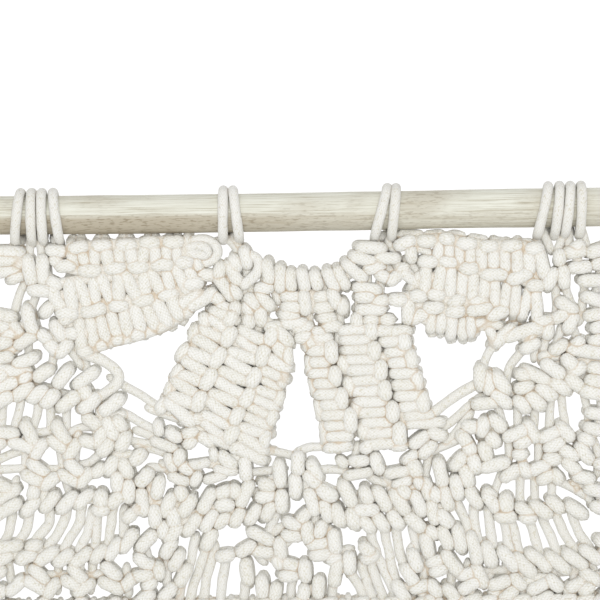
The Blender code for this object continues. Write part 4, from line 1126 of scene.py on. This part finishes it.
RIGHT_LOW_NET = [
    (80.3, -168.6, 86.2, -179.4, 3.3), (72, -173.8, 84, -171.8), (73, -181.3, 84.4, -175),
    (87, -178.8, 98.4, -175.6), (98, -173.4, 104.4, -180.4), (92.6, -186.3, 101, -179.6),
    (105.6, -181.3, 116.4, -177), (115, -174, 122, -181.4), (124, -181.3, 133.4, -176),
    (131, -171.6, 140.4, -178.4, 3.1), (130, -182.4, 137.4, -178.6), (58, -167.8, 67, -165.7),
    (59.6, -172.4, 68.4, -169.6), (66, -161.6, 74.4, -173.4, 3.2), (50.8, -160.6, 54.4, -171.4, 3.2),
    (46.6, -167.6, 53.4, -178.4, 3.2), (42.6, -175.6, 49, -186.4, 3.2), (50, -180.4, 59.4, -177),
    (58.6, -175.6, 64.6, -183.4), (66.6, -177.6, 72.6, -186.4), (54, -189, 62, -183),
    (74, -188, 84, -183.4), (108, -188, 118, -183), (140, -176, 148, -173), (140, -184, 148, -181),
    (120, -188, 129, -184)]
RIGHT_LOW_STRANDS = [
    [(84, -172), (98, -171)], [(104, -172.6), (118, -172)], [(121, -173), (134, -172)],
    [(90, -168), (87, -178)], [(96, -169), (99, -178)], [(113, -169), (115, -180)],
    [(119, -170), (118, -180)], [(128, -169), (128, -180)], [(136, -166), (138, -176)],
    [(145, -165), (145, -186)], [(57, -170), (56, -180)], [(70, -171), (70, -182)],
    [(78, -168), (77, -178)], [(56, -164), (60, -172)], [(104, -178), (103, -190)]]
RIGHT_BAND_TIES = [(47, -178.9, 54, -178.9), (89.5, -182, 97.5, -182)]
cords = band(RIGHT_BAND, RIGHT_BAND_LOW, RIGHT_LOW_NET, RIGHT_BAND_STRANDS, RIGHT_LOW_STRANDS,
             RIGHT_BAND_TIES)
right_band = cord_piece("right_band", cords)
dress(right_band, "macrame")

# ---- Hem ---------------------------------------------------------------------------------
# Two plain rows of square knots and a bar of double hitches close the hanging at the bottom.
# Plaited cotton: every cord of the hanging is tied into them and comes out below.
KNOT_PITCH = 15.2
KNOT_ROWS = (-187.5, -193.0)  # heights of the two rows of square knots
CORD_PITCH = 5.05
HEM_LOW, HEM_HIGH = -199.5, -184
HEM_MIDDLE = -190
HEM_SWAY = 0.8
HEM_CORD = -199.8
BAR_HIGH, BAR_LOW = -196.4, -203.4
KNOT_BARS = [(-5.5, 0.6, 4, 2.4), (-4, -3.6, 5.5, -2.2)]      # from the middle of a square knot
KNOT_BUMP = (5.2, 3.6, 6.6, -4)
half_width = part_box("macrame")[1][0] / MM - 3
cords = []
for row, z in enumerate(KNOT_ROWS):
    for x in np.arange(-half_width + 6 + row * KNOT_PITCH / 2, half_width - 4, KNOT_PITCH):
        bars = [(x + x0, z + z0, x + x1, z + z1) for x0, z0, x1, z1 in KNOT_BARS]
        x0, z0, x1, z1 = KNOT_BUMP
        cords += turns(bars, lift=3.8) + turns([(x + x0, z + z0, x + x1, z + z1)], lift=4.6)
for x in np.arange(-half_width, half_width + 0.1, CORD_PITCH):
    cords += turns([(x - 1, BAR_HIGH, x + 1.2, BAR_LOW)], lift=3.8, radius=2.8, tuck=1.0)
    path = [(x, HEM_HIGH), (x + rng.normal(0, HEM_SWAY), HEM_MIDDLE), (x, HEM_LOW)]
    cords += strands(path, radius=2.1, depth=-0.6)
cords += strands([(x, HEM_CORD) for x in (-half_width, 0, half_width)], radius=2.6)
hem = cord_piece("hem", cords, sides=8, step=1.5)
dress(hem, "macrame")

# ---- Fringe ------------------------------------------------------------------------------
# The ends of the cords that are left over, plaited cotton, hang loose under the hem in two
# layers. They are cut off level.
FRINGE_HIGH = -200.5
FRINGE_BENDS = (-228, -262, -300)
FRINGE_SWAY = 0.9
LAYER_DEPTH = 1.7
LAYER_SHIFT = 2.5             # the back layer hangs between the cords of the front
fringe_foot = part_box("fringe")[0][2] / MM
cords = []
for layer, depth in enumerate((LAYER_DEPTH, -LAYER_DEPTH)):
    for x in np.arange(-half_width + 0.6 + layer * LAYER_SHIFT, half_width, CORD_PITCH):
        foot = fringe_foot + rng.uniform(0.2, 2.2)
        sway = rng.normal(0, FRINGE_SWAY, 3)
        places = (x + sway[0] * 0.4, x + sway[1], x + sway[1] + sway[2])
        path = [(x, FRINGE_HIGH), *zip(places, FRINGE_BENDS), (x + sway[1], foot)]
        cords += strands(path, radius=2.1, depth=depth)
fringe_cords = cord_piece("fringe_cords", cords, sides=8, step=3.5)
dress(fringe_cords, "fringe")

# ---- Floor, light and camera -------------------------------------------------------------
# A pale floor under the hanging, a broad soft light from above and in front, one fill from
# the front and one from behind, even white light all round, and the camera level with the
# knots.
FLOOR_DROP = 0.09
FLOOR_SIZE = 1.1
FLOOR_TONE = (0.86, 0.86, 0.85, 1)
KEY_WIDTH, KEY_HEIGHT = 2.2, 1.6
KEY_ENERGY = 3.0
KEY_PLACE = (-0.3, -1.45, 1.1)
KEY_AIM = Vector((0, 0, -0.05))
FILLS = [("front_fill", 1.3, math.pi / 2), ("back_fill", 1.0, 0.3 - math.pi / 2)]   # name, energy, tilt
FILL_ANGLE = 0.6
WHITE = (1.0, 1.0, 1.0, 1)
ROOM_LIGHT = 0.665            # how strongly the room lights the hanging
ROOM_SEEN = 1.1               # how bright the room looks behind it
VIEW_DISTANCE = 1.6
FRAME_WIDTH = 0.2844          # width of the hanging that the view takes in
FRAME_CENTRE = -0.0422        # height of its middle
ROLL = math.radians(-0.78)
SENSOR = 36

floor_mesh = bpy.data.meshes.new("floor")
bm = bmesh.new()
bmesh.ops.create_grid(bm, x_segments=1, y_segments=1, size=FLOOR_SIZE,
                      matrix=Matrix.Translation((0, 0, cad_box[0][2] - FLOOR_DROP)))
bm.to_mesh(floor_mesh)
bm.free()
floor = bpy.data.objects.new("floor", floor_mesh)
bpy.context.scene.collection.objects.link(floor)
paper = bpy.data.materials.new("pale_floor")
paper.use_nodes = True
feed(paper.node_tree, paper.node_tree.nodes["Principled BSDF"],
     {"Base Color": FLOOR_TONE, "Roughness": 0.9})
floor.data.materials.append(paper)

key_data = bpy.data.lights.new("soft_key", "AREA")
key_data.shape = "RECTANGLE"
key_data.size = KEY_WIDTH
key_data.size_y = KEY_HEIGHT
key_data.energy = KEY_ENERGY
key = bpy.data.objects.new("soft_key", key_data)
key.location = KEY_PLACE
key.rotation_euler = (KEY_AIM - key.location).to_track_quat("-Z", "Y").to_euler()
bpy.context.scene.collection.objects.link(key)
for name, energy, tilt in FILLS:
    fill_data = bpy.data.lights.new(name, "SUN")
    fill_data.energy = energy
    fill_data.angle = FILL_ANGLE
    fill = bpy.data.objects.new(name, fill_data)
    fill.rotation_euler = (tilt, 0, 0)
    bpy.context.scene.collection.objects.link(fill)

world = bpy.data.worlds.new("white_room")
bpy.context.scene.world = world
world.use_nodes = True
tree = world.node_tree
lit = tree.nodes["Background"]
feed(tree, lit, {"Color": WHITE, "Strength": ROOM_LIGHT})
shown = add_node(tree, "Background", {"Color": WHITE, "Strength": ROOM_SEEN})
by_camera = add_node(tree, "LightPath").outputs["Is Camera Ray"]
either = add_node(tree, "MixShader", {0: by_camera, 1: lit.outputs[0], 2: shown.outputs[0]})
feed(tree, tree.nodes["World Output"], {"Surface": either.outputs[0]})
bpy.context.scene.view_settings.view_transform = "Standard"

camera_data = bpy.data.cameras.new("camera")
camera_data.sensor_width = SENSOR
camera_data.lens = SENSOR * VIEW_DISTANCE / FRAME_WIDTH
camera = bpy.data.objects.new("camera", camera_data)
camera.location = (0, -VIEW_DISTANCE, FRAME_CENTRE)
level = Matrix.Rotation(math.pi / 2, 4, "X")
camera.rotation_euler = (level @ Matrix.Rotation(ROLL, 4, "Z")).to_euler()
bpy.context.scene.collection.objects.link(camera)
bpy.context.scene.camera = camera
